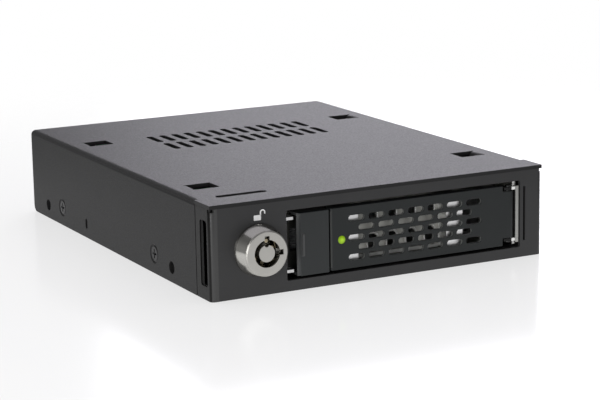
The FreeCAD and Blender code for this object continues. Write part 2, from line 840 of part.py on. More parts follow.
def make_front_bezel():
    """Face with two side flanges under the roof, and a lip over the floor."""
    body = new_body("front_bezel")
    low = "sheet + bezel_fit"
    back = "front + bezel_depth"
    inner = "bezel_edge_radius - sheet"
    slab(body, "z", "0", "roof", lambda sketch: outline(sketch, [
        ("left", back), ("left", "front", "bezel_edge_radius"), ("right", "front", "bezel_edge_radius"),
        ("right", back), ("right - sheet", back), ("right - sheet", "front + sheet", inner),
        ("left + sheet", "front + sheet", inner), ("left + sheet", back)]))
    slab(body, "z", low, f"{low} + sheet", lambda sketch: rectangle(
        sketch, "left + bezel_lip_inset", "front + sheet / 2", "right - bezel_lip_inset",
        "front + bezel_lip_depth"))
    cut(body, "y", "front", "front + sheet", lambda sketch: cut_rectangle(
        sketch, "opening_x0", "opening_bottom", "opening_x1", "opening_z1", "opening_corner"))
    cut(body, "y", "front", "front + sheet", lambda sketch: rectangle(
        sketch, "opening_x1 + slit_strip", "middle_z - slit_height / 2",
        "opening_x1 + slit_strip + slit_width", "middle_z + slit_height / 2"))
    cut(body, "y", "front", "front + sheet", lambda sketch: circle(
        sketch, "lock_x", "lock_height", "barrel + 2 * thread_gap"))
    cut(body, "x", "left", "right", lambda sketch: cut_rectangle(
        sketch, "front + side_slot_front", "middle_z - side_slot_height / 2",
        "front + side_slot_front + side_slot_length", "middle_z + side_slot_height / 2", "side_slot_corner"))

    def corner_reliefs(sketch):
        rectangle(sketch, "left", "front", "left + bezel_edge_radius", "front + bezel_edge_radius")
        rectangle(sketch, "right - bezel_edge_radius", "front", "right", "front + bezel_edge_radius")
    cut(body, "z", "roof - corner_relief", "roof", corner_reliefs)


def make_rail(side, name):
    """Moulded rail on the floor: a wall beside the tray, a ledge under it and an outer foot."""
    body = new_body(name)

    def x(distance):
        return f"tray_mid {side} ({distance})"
    slab(body, "y", "rail_y0", "rail_y1", lambda sketch: outline(sketch, [
        (x("rail_outer + rail_foot"), "sheet"), (x("tray_half - rail_ledge"), "sheet"),
        (x("tray_half - rail_ledge"), "rail_ledge_top"), (x("rail_inner"), "rail_ledge_top"),
        (x("rail_inner"), "rail_top"), (x("rail_outer"), "rail_top"),
        (x("rail_outer"), "sheet + rail_foot_thick"),
        (x("rail_outer + rail_foot"), "sheet + rail_foot_thick")]))
    inner_top = edges_at(body, y="rail_y0", z="rail_top") + edges_at(body, y="rail_y1", z="rail_top")
    ease_edges(body, "Fillet", "rail_lead", inner_top)


# Lock, each piece about its own Y axis with the bezel's front at zero

def lock_body(name):
    """Start a lock piece on the lock's axis."""
    body = new_body(name)
    return place(body, "lock_x", "front", "lock_height")


def make_lock_housing():
    """Tapered head, threaded barrel and bore, with two key notches."""
    body = lock_body("lock_housing")
    end = "cam_front - cam_gap"
    turned(body, lambda sketch: outline(sketch, [
        ("keyway / 2", "-head_reach"), ("head_face / 2 - head_bevel", "-head_reach"),
        ("head_face / 2", "head_bevel - head_reach"), ("head_base / 2", "-head_rim"), ("head_base / 2", "0"),
        ("barrel / 2", "0"), ("barrel / 2", end), ("keyway / 2", end)]))

    def notches(sketch):
        half = "notch_width / 2"
        rectangle(sketch, f"-{half}", "keyway / 2 - notch_width", half, "notch_reach")
        rectangle(sketch, "keyway / 2 - notch_width", f"-{half}", "notch_reach", half)
    cut(body, "y", "-head_reach", "notch_depth - head_reach", notches)


def make_lock_spindle():
    """Turning plug with the key post in front."""
    body = lock_body("lock_spindle")
    plug = "keyway / 2 - lock_run"
    floor = "keyway_depth - head_reach"
    turned(body, lambda sketch: outline(sketch, [
        ("0", "post_recess - head_reach"), ("key_post / 2", "post_recess - head_reach"),
        ("key_post / 2", floor), (plug, floor), (plug, "cam_front"), ("0", "cam_front")]))
    cut(body, "y", "post_recess - head_reach", "notch_depth - head_reach", lambda sketch: circle(
        sketch, "0", "key_post / 2", "post_notch"))


def make_lock_pins():
    """Ring of tumbler pins in the keyway, seated on the plug."""
    ring = "(keyway + key_post) / 4"
    pins = []
    for index in range(count("lock_pin_count")):
        angle = f"({index} + 0.5) * 360 deg / lock_pin_count"
        at = (f"lock_x + {ring} * sin({angle})", "front - head_reach + lock_pin_recess",
              f"lock_height + {ring} * cos({angle})")
        pins.append(prism("+y", at, 8, "lock_pin", "keyway_depth - lock_pin_recess"))
    node(group(*pins), "lock_pins")


def make_lock_nut():
    """Hexagon nut that clamps the lock to the bezel from behind."""
    seat = ("lock_x", "front + sheet", "lock_height")
    hexagon = prism("+y", seat, 6, "nut_flats", "nut_thick", 30)
    node(subtract(hexagon, rod("+y", seat, "barrel + 2 * thread_gap", "nut_thick")), "lock_nut")


def make_lock_cam():
    """Flat cam that turns with the plug; it stands up into the roof window when unlocked."""
    body = lock_body("lock_cam")
    half = "cam_tip_width / 2"
    slab(body, "y", "cam_front", "cam_front + cam_thick", lambda sketch: circle(sketch, "0", "0", "cam_hub"))
    slab(body, "y", "cam_front", "cam_front + cam_thick", lambda sketch: outline(sketch, [
        ("-cam_hub / 2 * cos(20 deg)", "cam_hub / 2 * sin(20 deg)"), (f"-{half}", "cam_reach - cam_thick"),
        (f"-{half} + cam_thick", "cam_reach"), (f"{half} - cam_thick", "cam_reach"),
        (half, "cam_reach - cam_thick"), ("cam_hub / 2 * cos(20 deg)", "cam_hub / 2 * sin(20 deg)")]))


# Tray

def make_tray_pan():
    """Floor and side walls of the drive tray, with drive screw holes, vents, light hole and cam notch."""
    body = new_body("tray_pan")
    inner = "tray_bend - tray_sheet"
    top = "tray_z1"
    slab(body, "y", "plate_y1", "pan_y1", lambda sketch: outline(sketch, [
        ("tray_x0", "tray_z0", "tray_bend"), ("tray_x1", "tray_z0", "tray_bend"), ("tray_x1", top),
        ("tray_x1 - tray_sheet", top), ("tray_x1 - tray_sheet", "tray_floor", inner),
        ("tray_x0 + tray_sheet", "tray_floor", inner), ("tray_x0 + tray_sheet", top), ("tray_x0", top)]))
    low = "tray_z0 + tray_wall_height"
    cheek = "plate_y1 + tray_cheek_length"
    beyond = "pan_y1 + tray_gap"
    cut(body, "x", "tray_x0", "tray_x1", lambda sketch: outline(sketch, [
        (cheek, f"{top} + tray_gap"), (cheek, top), (f"{cheek} + tray_cheek_slope", low), (beyond, low),
        (beyond, f"{top} + tray_gap")]))
    near = "cam_y0 - tray_gap"
    cut(body, "x", "tray_x0", "tray_x0 + tray_sheet", lambda sketch: rectangle(
        sketch, near, "lock_height - cam_hub / 2", "cam_y1 + tray_gap", f"{top} + tray_gap"))
    cut(body, "x", "tray_x0", "tray_x0 + tray_sheet", guide_hole("guide_y", "guide_height"))

    def drive_floor_holes(sketch):
        for side in (-1, 1):
            for index in range(2):
                y = f"drive_hole_y + {index} * drive_hole_pitch"
                circle(sketch, f"tray_mid + {side} * drive_hole_spread / 2", y, "drive_hole")
    cut(body, "z", "tray_z0", "tray_floor", drive_floor_holes)
    x0 = "tray_mid - ((floor_vent_columns - 1) * floor_vent_pitch + floor_vent_length) / 2"
    middle = "drive_hole_y + drive_hole_pitch / 2"
    y0 = f"{middle} - ((floor_vent_rows - 1) * floor_vent_row_pitch + floor_vent_width) / 2"
    vent = cut(body, "z", "tray_z0", "tray_floor", lambda sketch: oblong(
        sketch, x0, f"{x0} + floor_vent_length", y0, f"{y0} + floor_vent_width"))
    repeat(body, [vent], pattern_step(body, "x", "floor_vent_pitch", "floor_vent_columns"),
           pattern_step(body, "y", "floor_vent_row_pitch", "floor_vent_rows"))


def guide_hole(across, up):
    """Give a drawing of the square hole that a light guide passes or meets."""
    half = "(guide_side / 2 + guide_gap)"
    return lambda sketch: rectangle(
        sketch, f"{across} - {half}", f"{up} - {half}", f"{across} + {half}", f"{up} + {half}")


def make_tray_front_plate():
    """Upright plate behind the door: vents, two hollow ribs, hinge cheek and ears, button ears, floor lip."""
    body = new_body("tray_front_plate")
    slab(body, "y", "plate_y0", "plate_y1", lambda sketch: rectangle(
        sketch, "tray_x0", "tray_z0", "tray_x1", "tray_z1"))
    slab(body, "x", "tray_x1 - plate_sheet", "tray_x1", lambda sketch: rectangle(
        sketch, "front + hinge_cheek_front", "tray_z0", "plate_y0", "tray_z1"))

    def cheek_notches(sketch):
        near = "front + hinge_cheek_front"
        far = "front + hinge_cheek_front + cheek_notch_depth"
        rectangle(sketch, near, "tray_z0", far, "tray_z0 + cheek_notch_low")
        rectangle(sketch, near, "tray_z1 - cheek_notch_high", far, "tray_z1")
    cut(body, "x", "tray_x1 - plate_sheet", "tray_x1", cheek_notches)
    for low in ("hinge_ear_bottom", "hinge_ear_top - ear_thick"):
        slab(body, "z", low, f"{low} + ear_thick", lambda sketch: outline(sketch, [
            ("hinge_x - hinge_ear_reach", "hinge_y - hinge_pin / 2"),
            ("hinge_x - hinge_pin / 2", "hinge_y - hinge_ear_reach / 2 - hinge_pin / 4"),
            ("tray_x1 - plate_sheet", "hinge_y - hinge_ear_reach / 2 - hinge_pin / 4"),
            ("tray_x1 - plate_sheet", "plate_y0"), ("hinge_x - hinge_ear_reach", "plate_y0")]))
    cut(body, "z", "hinge_ear_bottom", "hinge_ear_top", lambda sketch: circle(
        sketch, "hinge_x", "hinge_y", "hinge_pin + 2 * hinge_run"))

    def button_ears(sketch):
        for low in ("ear_bottom", "ear_top"):
            rectangle(sketch, "tray_x0", low, "tray_x0 + ear_width", f"{low} + ear_thick")
    slab(body, "y", "front + ear_front", "plate_y0", button_ears)
    slab(body, "z", "tray_floor", "tray_floor + plate_sheet", lambda sketch: rectangle(
        sketch, "plate_lip_x0", "plate_y0", "plate_lip_x1", "plate_y1 + plate_lip"))
    cut(body, "y", "plate_y0", "plate_y1", lambda sketch: rectangle(
        sketch, "stem_x0 - button_travel - stem_gap", "middle_z - stem_height / 2 - stem_gap",
        "stem_x1 + stem_gap", "middle_z + stem_height / 2 + stem_gap"))
    cut(body, "y", "plate_y0", "plate_y1", guide_hole("led_x", "led_height"))
    cut(body, "y", "plate_y0", "plate_y1", lambda sketch: rectangle(
        sketch, "plate_window_x0", "middle_z - plate_window_height / 2",
        "plate_window_x1", "middle_z + plate_window_height / 2"))
    vent = cut(body, "y", "plate_y0", "plate_y1", lambda sketch: oblong(
        sketch, "grille_x0", "grille_x0 + grille_width", "grille_z0", "grille_z0 + grille_height"))
    repeat(body, [vent], pattern_step(body, "x", "grille_pitch", "grille_columns"),
           pattern_step(body, "z", "grille_row_pitch", "2"))
    for x0, x1 in (("lens_rib_x0", "lens_rib_x1"), ("window_rib_x0", "window_rib_x1")):
        slab(body, "y", "rib_y0", "plate_y0", lambda sketch: rectangle(
            sketch, x0, "middle_z - rib_half_height", x1, "middle_z + rib_half_height"))
        cut(body, "y", "rib_y0 + plate_sheet", "plate_y1", lambda sketch: rectangle(
            sketch, f"{x0} + plate_sheet", "middle_z - rib_half_height + plate_sheet",
            f"{x1} - plate_sheet", "middle_z + rib_half_height - plate_sheet"))


def make_hinge_pin():
    """Pin through the plate's ears that the door turns on."""
    low = "hinge_ear_bottom - knuckle_gap"
    high = "hinge_ear_top + knuckle_gap"
    node(rod("+z", ("hinge_x", "hinge_y", low), "hinge_pin", f"{high} - ({low})"), "hinge_pin")


def make_door():
    """Perforated flap with a returned rim and a rolled knuckle round the hinge pin."""
    body = new_body("door_panel")
    slab(body, "y", "door_y0", "door_y1", lambda sketch: outline(sketch, [
        ("door_x0", "door_bottom"), ("notch_x", "door_bottom"), ("notch_x", "knuckle_bottom"),
        ("hinge_x", "knuckle_bottom"), ("hinge_x", "knuckle_top"), ("notch_x", "knuckle_top"),
        ("notch_x", "door_top"), ("door_x0", "door_top")]))
    inner = "door_x0 + door_sheet"
    slab(body, "y", "door_y1", "front + door_rim_depth", lambda sketch: outline(sketch, [
        ("door_x0", "door_bottom"), ("notch_x - door_sheet", "door_bottom"),
        ("notch_x - door_sheet", "door_bottom + door_sheet"), (inner, "door_bottom + door_sheet"),
        (inner, "door_top - door_sheet"), ("notch_x - door_sheet", "door_top - door_sheet"),
        ("notch_x - door_sheet", "door_top"), ("door_x0", "door_top")]))
    slab(body, "z", "knuckle_bottom", "knuckle_top", lambda sketch: circle(
        sketch, "hinge_x", "hinge_y", "2 * knuckle_radius"))
    cut(body, "z", "knuckle_bottom", "knuckle_top", lambda sketch: circle(
        sketch, "hinge_x", "hinge_y", "hinge_pin + 2 * hinge_run"))
    cut(body, "y", "door_y0", "door_y1", lambda sketch: circle(
        sketch, "led_x", "led_height", "led_lens + 2 * lens_gap"))
    cut(body, "x", "door_x0", inner, lambda sketch: rectangle(
        sketch, "front + door_rim_depth - latch_thick", "middle_z - latch_height / 2 - latch_gap",
        "front + door_rim_depth", "middle_z + latch_height / 2 + latch_gap"))
    perforate(body)
    ease_edges(body, "Chamfer", "door_bevel", edges_at(body, x="door_x0", y="door_y0"))


def perforate(body):
    """Cut the door's staggered rows of oblong holes."""
    bottom = "perforation_z - (perforation_rows - 1) / 2 * perforation_row_pitch - perforation_width / 2"
    for first_row, shift, number_across, number_up in (
            (0, "0", "perforation_columns", "floor((perforation_rows + 1) / 2)"),
            (1, "perforation_pitch / 2", "perforation_columns - 1", "floor(perforation_rows / 2)")):
        low = f"{bottom} + {first_row} * perforation_row_pitch"
        near = f"perforation_x0 + {shift}"
        hole = cut(body, "y", "door_y0", "door_y1", lambda sketch: oblong(
            sketch, near, f"{near} + perforation_length", low, f"{low} + perforation_width"))
        repeat(body, [hole], pattern_step(body, "x", "perforation_pitch", number_across),
               pattern_step(body, "z", "2 * perforation_row_pitch", number_up))


def make_led_lens():
    """Domed clear lens pressed into the door from behind."""
    body = new_body("led_lens")
    place(body, "led_x", "door_y0", "led_height")
    turned(body, lambda sketch: outline(sketch, [
        ("0", "-lens_dome"), ("led_lens / 4", "-lens_dome"), ("led_lens / 2", "lens_dome"),
        ("led_lens / 2", "door_sheet"), ("led_flange / 2", "door_sheet"),
        ("led_flange / 2", "door_sheet + led_flange_thick"), ("0", "door_sheet + led_flange_thick")]))


def bow(chord, rise, width):
    """Make a leaf spring bowed to an arc about its local Z axis; give it with its radius and angle."""
    radius = f"((({chord}) / 2) ^ 2 + ({rise}) ^ 2) / (2 * ({rise}))"
    angle = f"2 * asin(({chord}) / 2 / ({radius}))"
    outer = doc.addObject("Part::Cylinder", "BowOutside")
    bind(outer, Radius=radius, Height=width, Angle=angle)
    inner = doc.addObject("Part::Cylinder", "BowInside")
    bind(inner, Radius=f"{radius} - spring_strip", Height=width, Angle=angle)
    return subtract(outer, inner), radius, number(angle)


def make_springs():
    """Leaf springs: one returns the button, one lifts the door when it is let go."""
    upright = FreeCAD.Vector(0, 0, 1)
    foot = "tray_x0 + tray_sheet + spring_strip"
    rise = f"retainer_x0 - spring_gap - ({foot})"
    leaf, radius, angle = bow("button_spring_chord", rise, "button_spring_width")
    turn = TURNS["-y"].multiply(FreeCAD.Rotation(upright, -angle / 2))
    place(leaf, f"retainer_x0 - spring_gap - {radius}", "retainer_y1", "middle_z", turn=turn)
    node(leaf, "button_spring")
    rise = "plate_y0 - spring_strip - door_y1 - spring_gap"
    leaf, radius, angle = bow("door_spring_chord", rise, "door_spring_width")
    turn = TURNS["+x"].multiply(FreeCAD.Rotation(upright, -90 - angle / 2))
    place(leaf, "door_spring_x", f"door_y1 + spring_gap + {radius}", "middle_z", turn=turn)
    node(leaf, "door_spring")


# Release button: it slides towards the lock

def make_release_button():
    """Slide button, open towards the lock, with a thumb rib, latch nose and a stem through the plate."""
    body = new_body("release_button")
    slab(body, "y", "button_y0", "button_y1", lambda sketch: rectangle(
        sketch, "button_x0", "button_bottom", "button_x1", "button_top"))
    ease_edges(body, "Chamfer", "button_bevel", edges_at(body, x="button_x0", y="button_y0"))
    cut(body, "y", "button_y0 + button_skin", "button_y1", lambda sketch: rectangle(
        sketch, "button_x0", "button_bottom + button_wall", "button_x1 - button_wall",
        "button_top - button_wall"))
    slab(body, "y", "button_y0 + button_skin", "stem_end", lambda sketch: rectangle(
        sketch, "stem_x0", "middle_z - stem_height / 2", "stem_x1", "middle_z + stem_height / 2"))
    slab(body, "y", "button_y0 - grip_rise", "button_y0 + grip_rise", lambda sketch: oblong(
        sketch, "grip_x0", "grip_x0 + grip_width", "grip_bottom", "grip_bottom + grip_height"))
    slab(body, "y", "button_y1 - latch_thick", "button_y1", lambda sketch: rectangle(
        sketch, "button_x1 - button_wall", "middle_z - latch_height / 2", "door_x0 - latch_gap",
        "middle_z + latch_height / 2"))


def make_button_retainer():
    """Plate behind the tray front that keeps the button on."""
    node(block("retainer_x0", "retainer_x0 + retainer_width", "stem_end", "retainer_y1",
               "middle_z - retainer_height / 2", "middle_z + retainer_height / 2"), "button_retainer")


# Light guides

def make_light_guides():
    """Clear bars that carry the board lamp's light to the tray and on to the lens."""
    lamp_end = "board_y0 - led_chip_thick - guide_gap"
    node(bent_bar([
        ("guide_x", lamp_end, "guide_height"), ("guide_x", "guide_y", "guide_height"),
        ("tray_x0 - run_gap", "guide_y", "guide_height")], "guide_side", "guide_bend"), "casing_light_guide")
    lens_end = "door_y1 + led_flange_thick + guide_gap"
    node(bent_bar([
        ("tray_x0 + tray_sheet", "guide_y", "guide_height"), ("led_x", "guide_y", "guide_height"),
        ("led_x", "guide_y", "led_height"), ("led_x", lens_end, "led_height")],
        "guide_side", "guide_bend"), "tray_light_guide")


# Backplane

def make_board():
    """Backplane board with its standoffs and lamp."""
    node(block("board_x0", "board_x1", "board_y0", "board_y1", "board_bottom", "board_bottom + board_height"),
         "backplane_board")
    standoffs = []
    for x in ("board_x0 + standoff_inset", "board_x1 - standoff_inset"):
        for z in ("board_bottom + standoff_low", "board_bottom + standoff_high"):
            standoffs.append(prism("+y", (x, "board_y1", z), 6, "standoff", "rear_wall - board_y1"))
    node(group(*standoffs), "board_standoffs")
    half = "led_chip / 2"
    node(block(f"guide_x - {half}", f"guide_x + {half}", "board_y0 - led_chip_thick", "board_y0",
               f"guide_height - {half}", f"guide_height + {half}"), "board_lamp")


def contact_strips(first_x, total, y0, y1, z0):
    """Make a row of thin contact strips."""
    strips = []
    for index in range(count(total)):
        x = f"{first_x} + {index} * contact_pitch"
        strips.append(block(f"{x} - contact_width / 2", f"{x} + contact_width / 2", y0, y1,
                            z0, f"{z0} + contact_thick"))
    return strips


def make_drive_connector():
    """Socket that the drive plugs into: a keyed slot with a short and a long row of contacts."""
    body = new_body("drive_connector")
    face = "board_y0 - connector_reach"
    half = "connector_width / 2"
    slab(body, "y", face, "board_y0", lambda sketch: rectangle(
        sketch, f"connector_mid - {half}", "connector_z - connector_height / 2", f"connector_mid + {half}",
        "connector_z + connector_height / 2"))
    low = "connector_z - socket_height / 2"
    high = "connector_z + socket_height / 2"

    def keyed_slot(sketch):
        wall = "connector_mid - socket_half + data_row + 3 * contact_pitch"
        outline(sketch, [
            ("connector_mid - socket_half", low), (wall, low), (wall, f"{high} + socket_key"),
            (f"{wall} - contact_pitch", f"{high} + socket_key"), (f"{wall} - contact_pitch", high),
            ("connector_mid - socket_half", high)])
        start = f"{wall} + contact_pitch"
        end = f"{start} + power_row + 2 * contact_pitch"
        outline(sketch, [
            (start, low), (end, low), (end, f"{high} + socket_key"),
            (f"{end} - contact_pitch", f"{high} + socket_key"), (f"{end} - contact_pitch", high),
            (start, high)])
    cut(body, "y", face, f"{face} + socket_depth", keyed_slot)
    first = "connector_mid - socket_half + contact_pitch"
    strips = contact_strips(first, "data_contacts", f"{face} + sheet", f"{face} + socket_depth", low)
    first = "connector_mid - socket_half + data_row + 5 * contact_pitch"
    strips += contact_strips(first, "power_contacts", f"{face} + sheet", f"{face} + socket_depth", low)
    node(group(*strips), "drive_contacts")


def make_rear_ports():
    """Data and power ports on the back of the board, each a shroud round a keyed tongue."""
    strips = []
    for name, x0, row, total in (("data_port", "data_port_x0", "data_row", "data_contacts"),
                                 ("power_port", "power_port_x0", "power_row", "power_contacts")):
        body = new_body(name)
        x1 = f"{x0} + {row} + port_end_margin"
        face = "rear - port_setback"
        half = "port_height / 2"
        slab(body, "y", "board_y1", face, lambda sketch: rectangle(
            sketch, x0, f"port_middle - {half}", x1, f"port_middle + {half}"))
        tongue = "port_tongue / 2"
        tongue_x0 = f"{x0} + port_tongue_margin"
        tongue_x1 = f"{x1} - port_tongue_margin"

        def shroud_space(sketch):
            rectangle(sketch, f"{x0} + port_wall", f"port_middle - {half} + port_wall", f"{x1} - port_wall",
                      f"port_middle + {half} - port_wall")
            outline(sketch, [
                (tongue_x0, f"port_middle - {tongue}"), (tongue_x1, f"port_middle - {tongue}"),
                (tongue_x1, f"port_middle + {tongue} + port_tongue"),
                (f"{tongue_x1} - port_tongue", f"port_middle + {tongue} + port_tongue"),
                (f"{tongue_x1} - port_tongue", f"port_middle + {tongue}"),
                (tongue_x0, f"port_middle + {tongue}")])
        cut(body, "y", f"{face} - port_depth", face, shroud_space)
        first = f"({tongue_x0} + {tongue_x1} - {row}) / 2"
        low = f"port_middle - {tongue} - contact_thick"
        strips += contact_strips(first, total, f"{face} - port_depth", f"{face} - contact_width", low)
    node(group(*strips), "port_contacts")


make_base_plate()
make_top_cover()
make_front_bezel()
make_rail("-", "tray_rail_left")
make_rail("+", "tray_rail_right")
make_lock_housing()
make_lock_nut()
make_lock_spindle()
make_lock_pins()
make_lock_cam()
make_tray_pan()
make_tray_front_plate()
make_hinge_pin()
make_door()
make_led_lens()
make_release_button()
make_button_retainer()
make_springs()
make_light_guides()
make_board()
make_drive_connector()
make_rear_ports()
doc.recompute()

# Nothing is written until every object is sound
for thing in doc.Objects:
    if "Invalid" in thing.State or "Error" in thing.State:
        raise RuntimeError(f"{thing.Name} of {thing.Label} failed: {thing.State}")
for piece in NODES:
    if piece.Shape.isNull() or not piece.Shape.isValid() or not piece.Shape.Solids:
        raise RuntimeError(f"{piece.Label} has no sound solid")
os.makedirs("parts", exist_ok=True)
for piece in NODES:
    piece.Shape.exportStep(f"parts/{piece.Label}.step")
    print(f"{piece.Label}: {len(piece.Shape.Solids)} solids, {piece.Shape.Volume:.1f} cubic mm")
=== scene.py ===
"""Drive bay adapter: finishes, small fasteners, sign and studio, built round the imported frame."""

import logging
import math
from dataclasses import dataclass, field
from enum import Enum
from typing import Any, Callable, Iterable, Sequence

import bmesh
import bpy
from mathutils import Matrix, Vector


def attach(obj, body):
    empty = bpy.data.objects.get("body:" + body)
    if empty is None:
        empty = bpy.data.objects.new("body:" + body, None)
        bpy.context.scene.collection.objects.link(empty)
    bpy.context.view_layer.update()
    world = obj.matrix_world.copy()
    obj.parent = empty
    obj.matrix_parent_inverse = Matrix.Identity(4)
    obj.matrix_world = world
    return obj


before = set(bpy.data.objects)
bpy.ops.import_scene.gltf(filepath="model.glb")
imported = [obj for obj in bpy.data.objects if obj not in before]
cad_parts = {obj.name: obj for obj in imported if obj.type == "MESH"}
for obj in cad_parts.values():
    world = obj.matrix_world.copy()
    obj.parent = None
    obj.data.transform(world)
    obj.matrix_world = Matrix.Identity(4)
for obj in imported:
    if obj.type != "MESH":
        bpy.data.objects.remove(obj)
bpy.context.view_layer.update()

Colour = tuple[float, float, float]
Triple = tuple[float, float, float]
Reach = tuple[float, float]
Socket = bpy.types.NodeSocket
Shape = bmesh.types.BMesh

LOG = logging.getLogger("drive_bay_adapter")
MM = 0.001
WHITE: Colour = (1.0, 1.0, 1.0)
NOISE_REACH: Reach = (0.3, 0.7)
WELD_METRES = 1e-6
FLAT_DEGREES = 0.5
SHARP_DEGREES = 50
EDGE_SEGMENTS = 2
MERGE_MM = 1e-5


class Body(Enum):
    """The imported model's moving bodies."""

    CHASSIS = "chassis"
    LOCK = "lock"
    TRAY = "tray"
    BUTTON = "button"
    DOOR = "door"


class Slot(Enum):
    """The record's material slots."""

    CASING = "casing_black"
    BEZEL = "bezel_black"
    DOOR = "door_black"
    BUTTON = "button_black"
    SCREW = "black_screw"
    NICKEL = "lock_nickel"
    BRASS = "lock_brass"
    ZINC = "zinc_steel"
    TRAY = "tray_steel"
    SPRING = "spring_steel"
    RAIL = "rail_plastic"
    CLEAR = "clear_plastic"
    LENS = "lens_green"
    BOARD = "board_green"
    LAMP = "lamp_white"
    CONNECTOR = "connector_black"
    CONTACT = "contact_gold"


class Way(Enum):
    """Directions that a new piece's local +Z can point."""

    UP = (0, 0, 1)
    LEFT = (-1, 0, 0)
    RIGHT = (1, 0, 0)
    FRONT = (0, -1, 0)

    def turn(self) -> Matrix:
        """Give the turn that brings local +Z to this direction.

        Returns:
            A matrix of four rows.
        """
        return Vector((0, 0, 1)).rotation_difference(Vector(self.value)).to_matrix().to_4x4()


class NodeSheet:
    """A node tree, with the steps that materials and the surroundings share."""

    def __init__(self, tree: bpy.types.NodeTree) -> None:
        """Work on a tree.

        Args:
            tree: The nodes of a material or of the surroundings.
        """
        self.tree = tree

    def fill(self, node: bpy.types.Node, values: dict[str | int, Any]) -> None:
        """Set or link a node's inputs.

        Args:
            node: The node.
            values: Input names or numbers, each with a constant or an output socket.
        """
        for key, value in values.items():
            socket = node.inputs[key]
            if isinstance(value, Socket):
                self.tree.links.new(value, socket)
            elif socket.type == "RGBA":
                socket.default_value = (*value, 1.0)
            else:
                socket.default_value = value

    def add(self, kind: str, values: dict[str | int, Any] | None = None,
            **options: Any) -> bpy.types.Node:
        """Add a node.

        Args:
            kind: The node's type name without its ShaderNode prefix.
            values: Inputs to set or link.
            **options: Properties of the node.

        Returns:
            The new node.
        """
        node = self.tree.nodes.new(f"ShaderNode{kind}")
        for key, value in options.items():
            setattr(node, key, value)
        self.fill(node, values or {})
        return node

    def calculate(self, operation: str, *numbers: Any) -> Socket:
        """Calculate with numbers.

        Args:
            operation: Name of the calculation.
            *numbers: Constants or sockets that go into it.

        Returns:
            The result's socket.
        """
        node = self.add("Math", dict(enumerate(numbers)), operation=operation)
        return node.outputs["Value"]

    def ramp(self, value: Socket, reach: Reach, low: Any, high: float,
             smooth: bool = True) -> Socket:
        """Pass from one number to another.

        Args:
            value: The socket that drives the passage.
            reach: Its values at the two ends.
            low: Number or socket at the first end.
            high: Number at the second end.
            smooth: Whether the passage eases in and out.

        Returns:
            The number's socket.
        """
        values = {"Value": value, "From Min": reach[0], "From Max": reach[1],
                  "To Min": low, "To Max": high}
        course = "SMOOTHSTEP" if smooth else "LINEAR"
        return self.add("MapRange", values, interpolation_type=course).outputs["Result"]


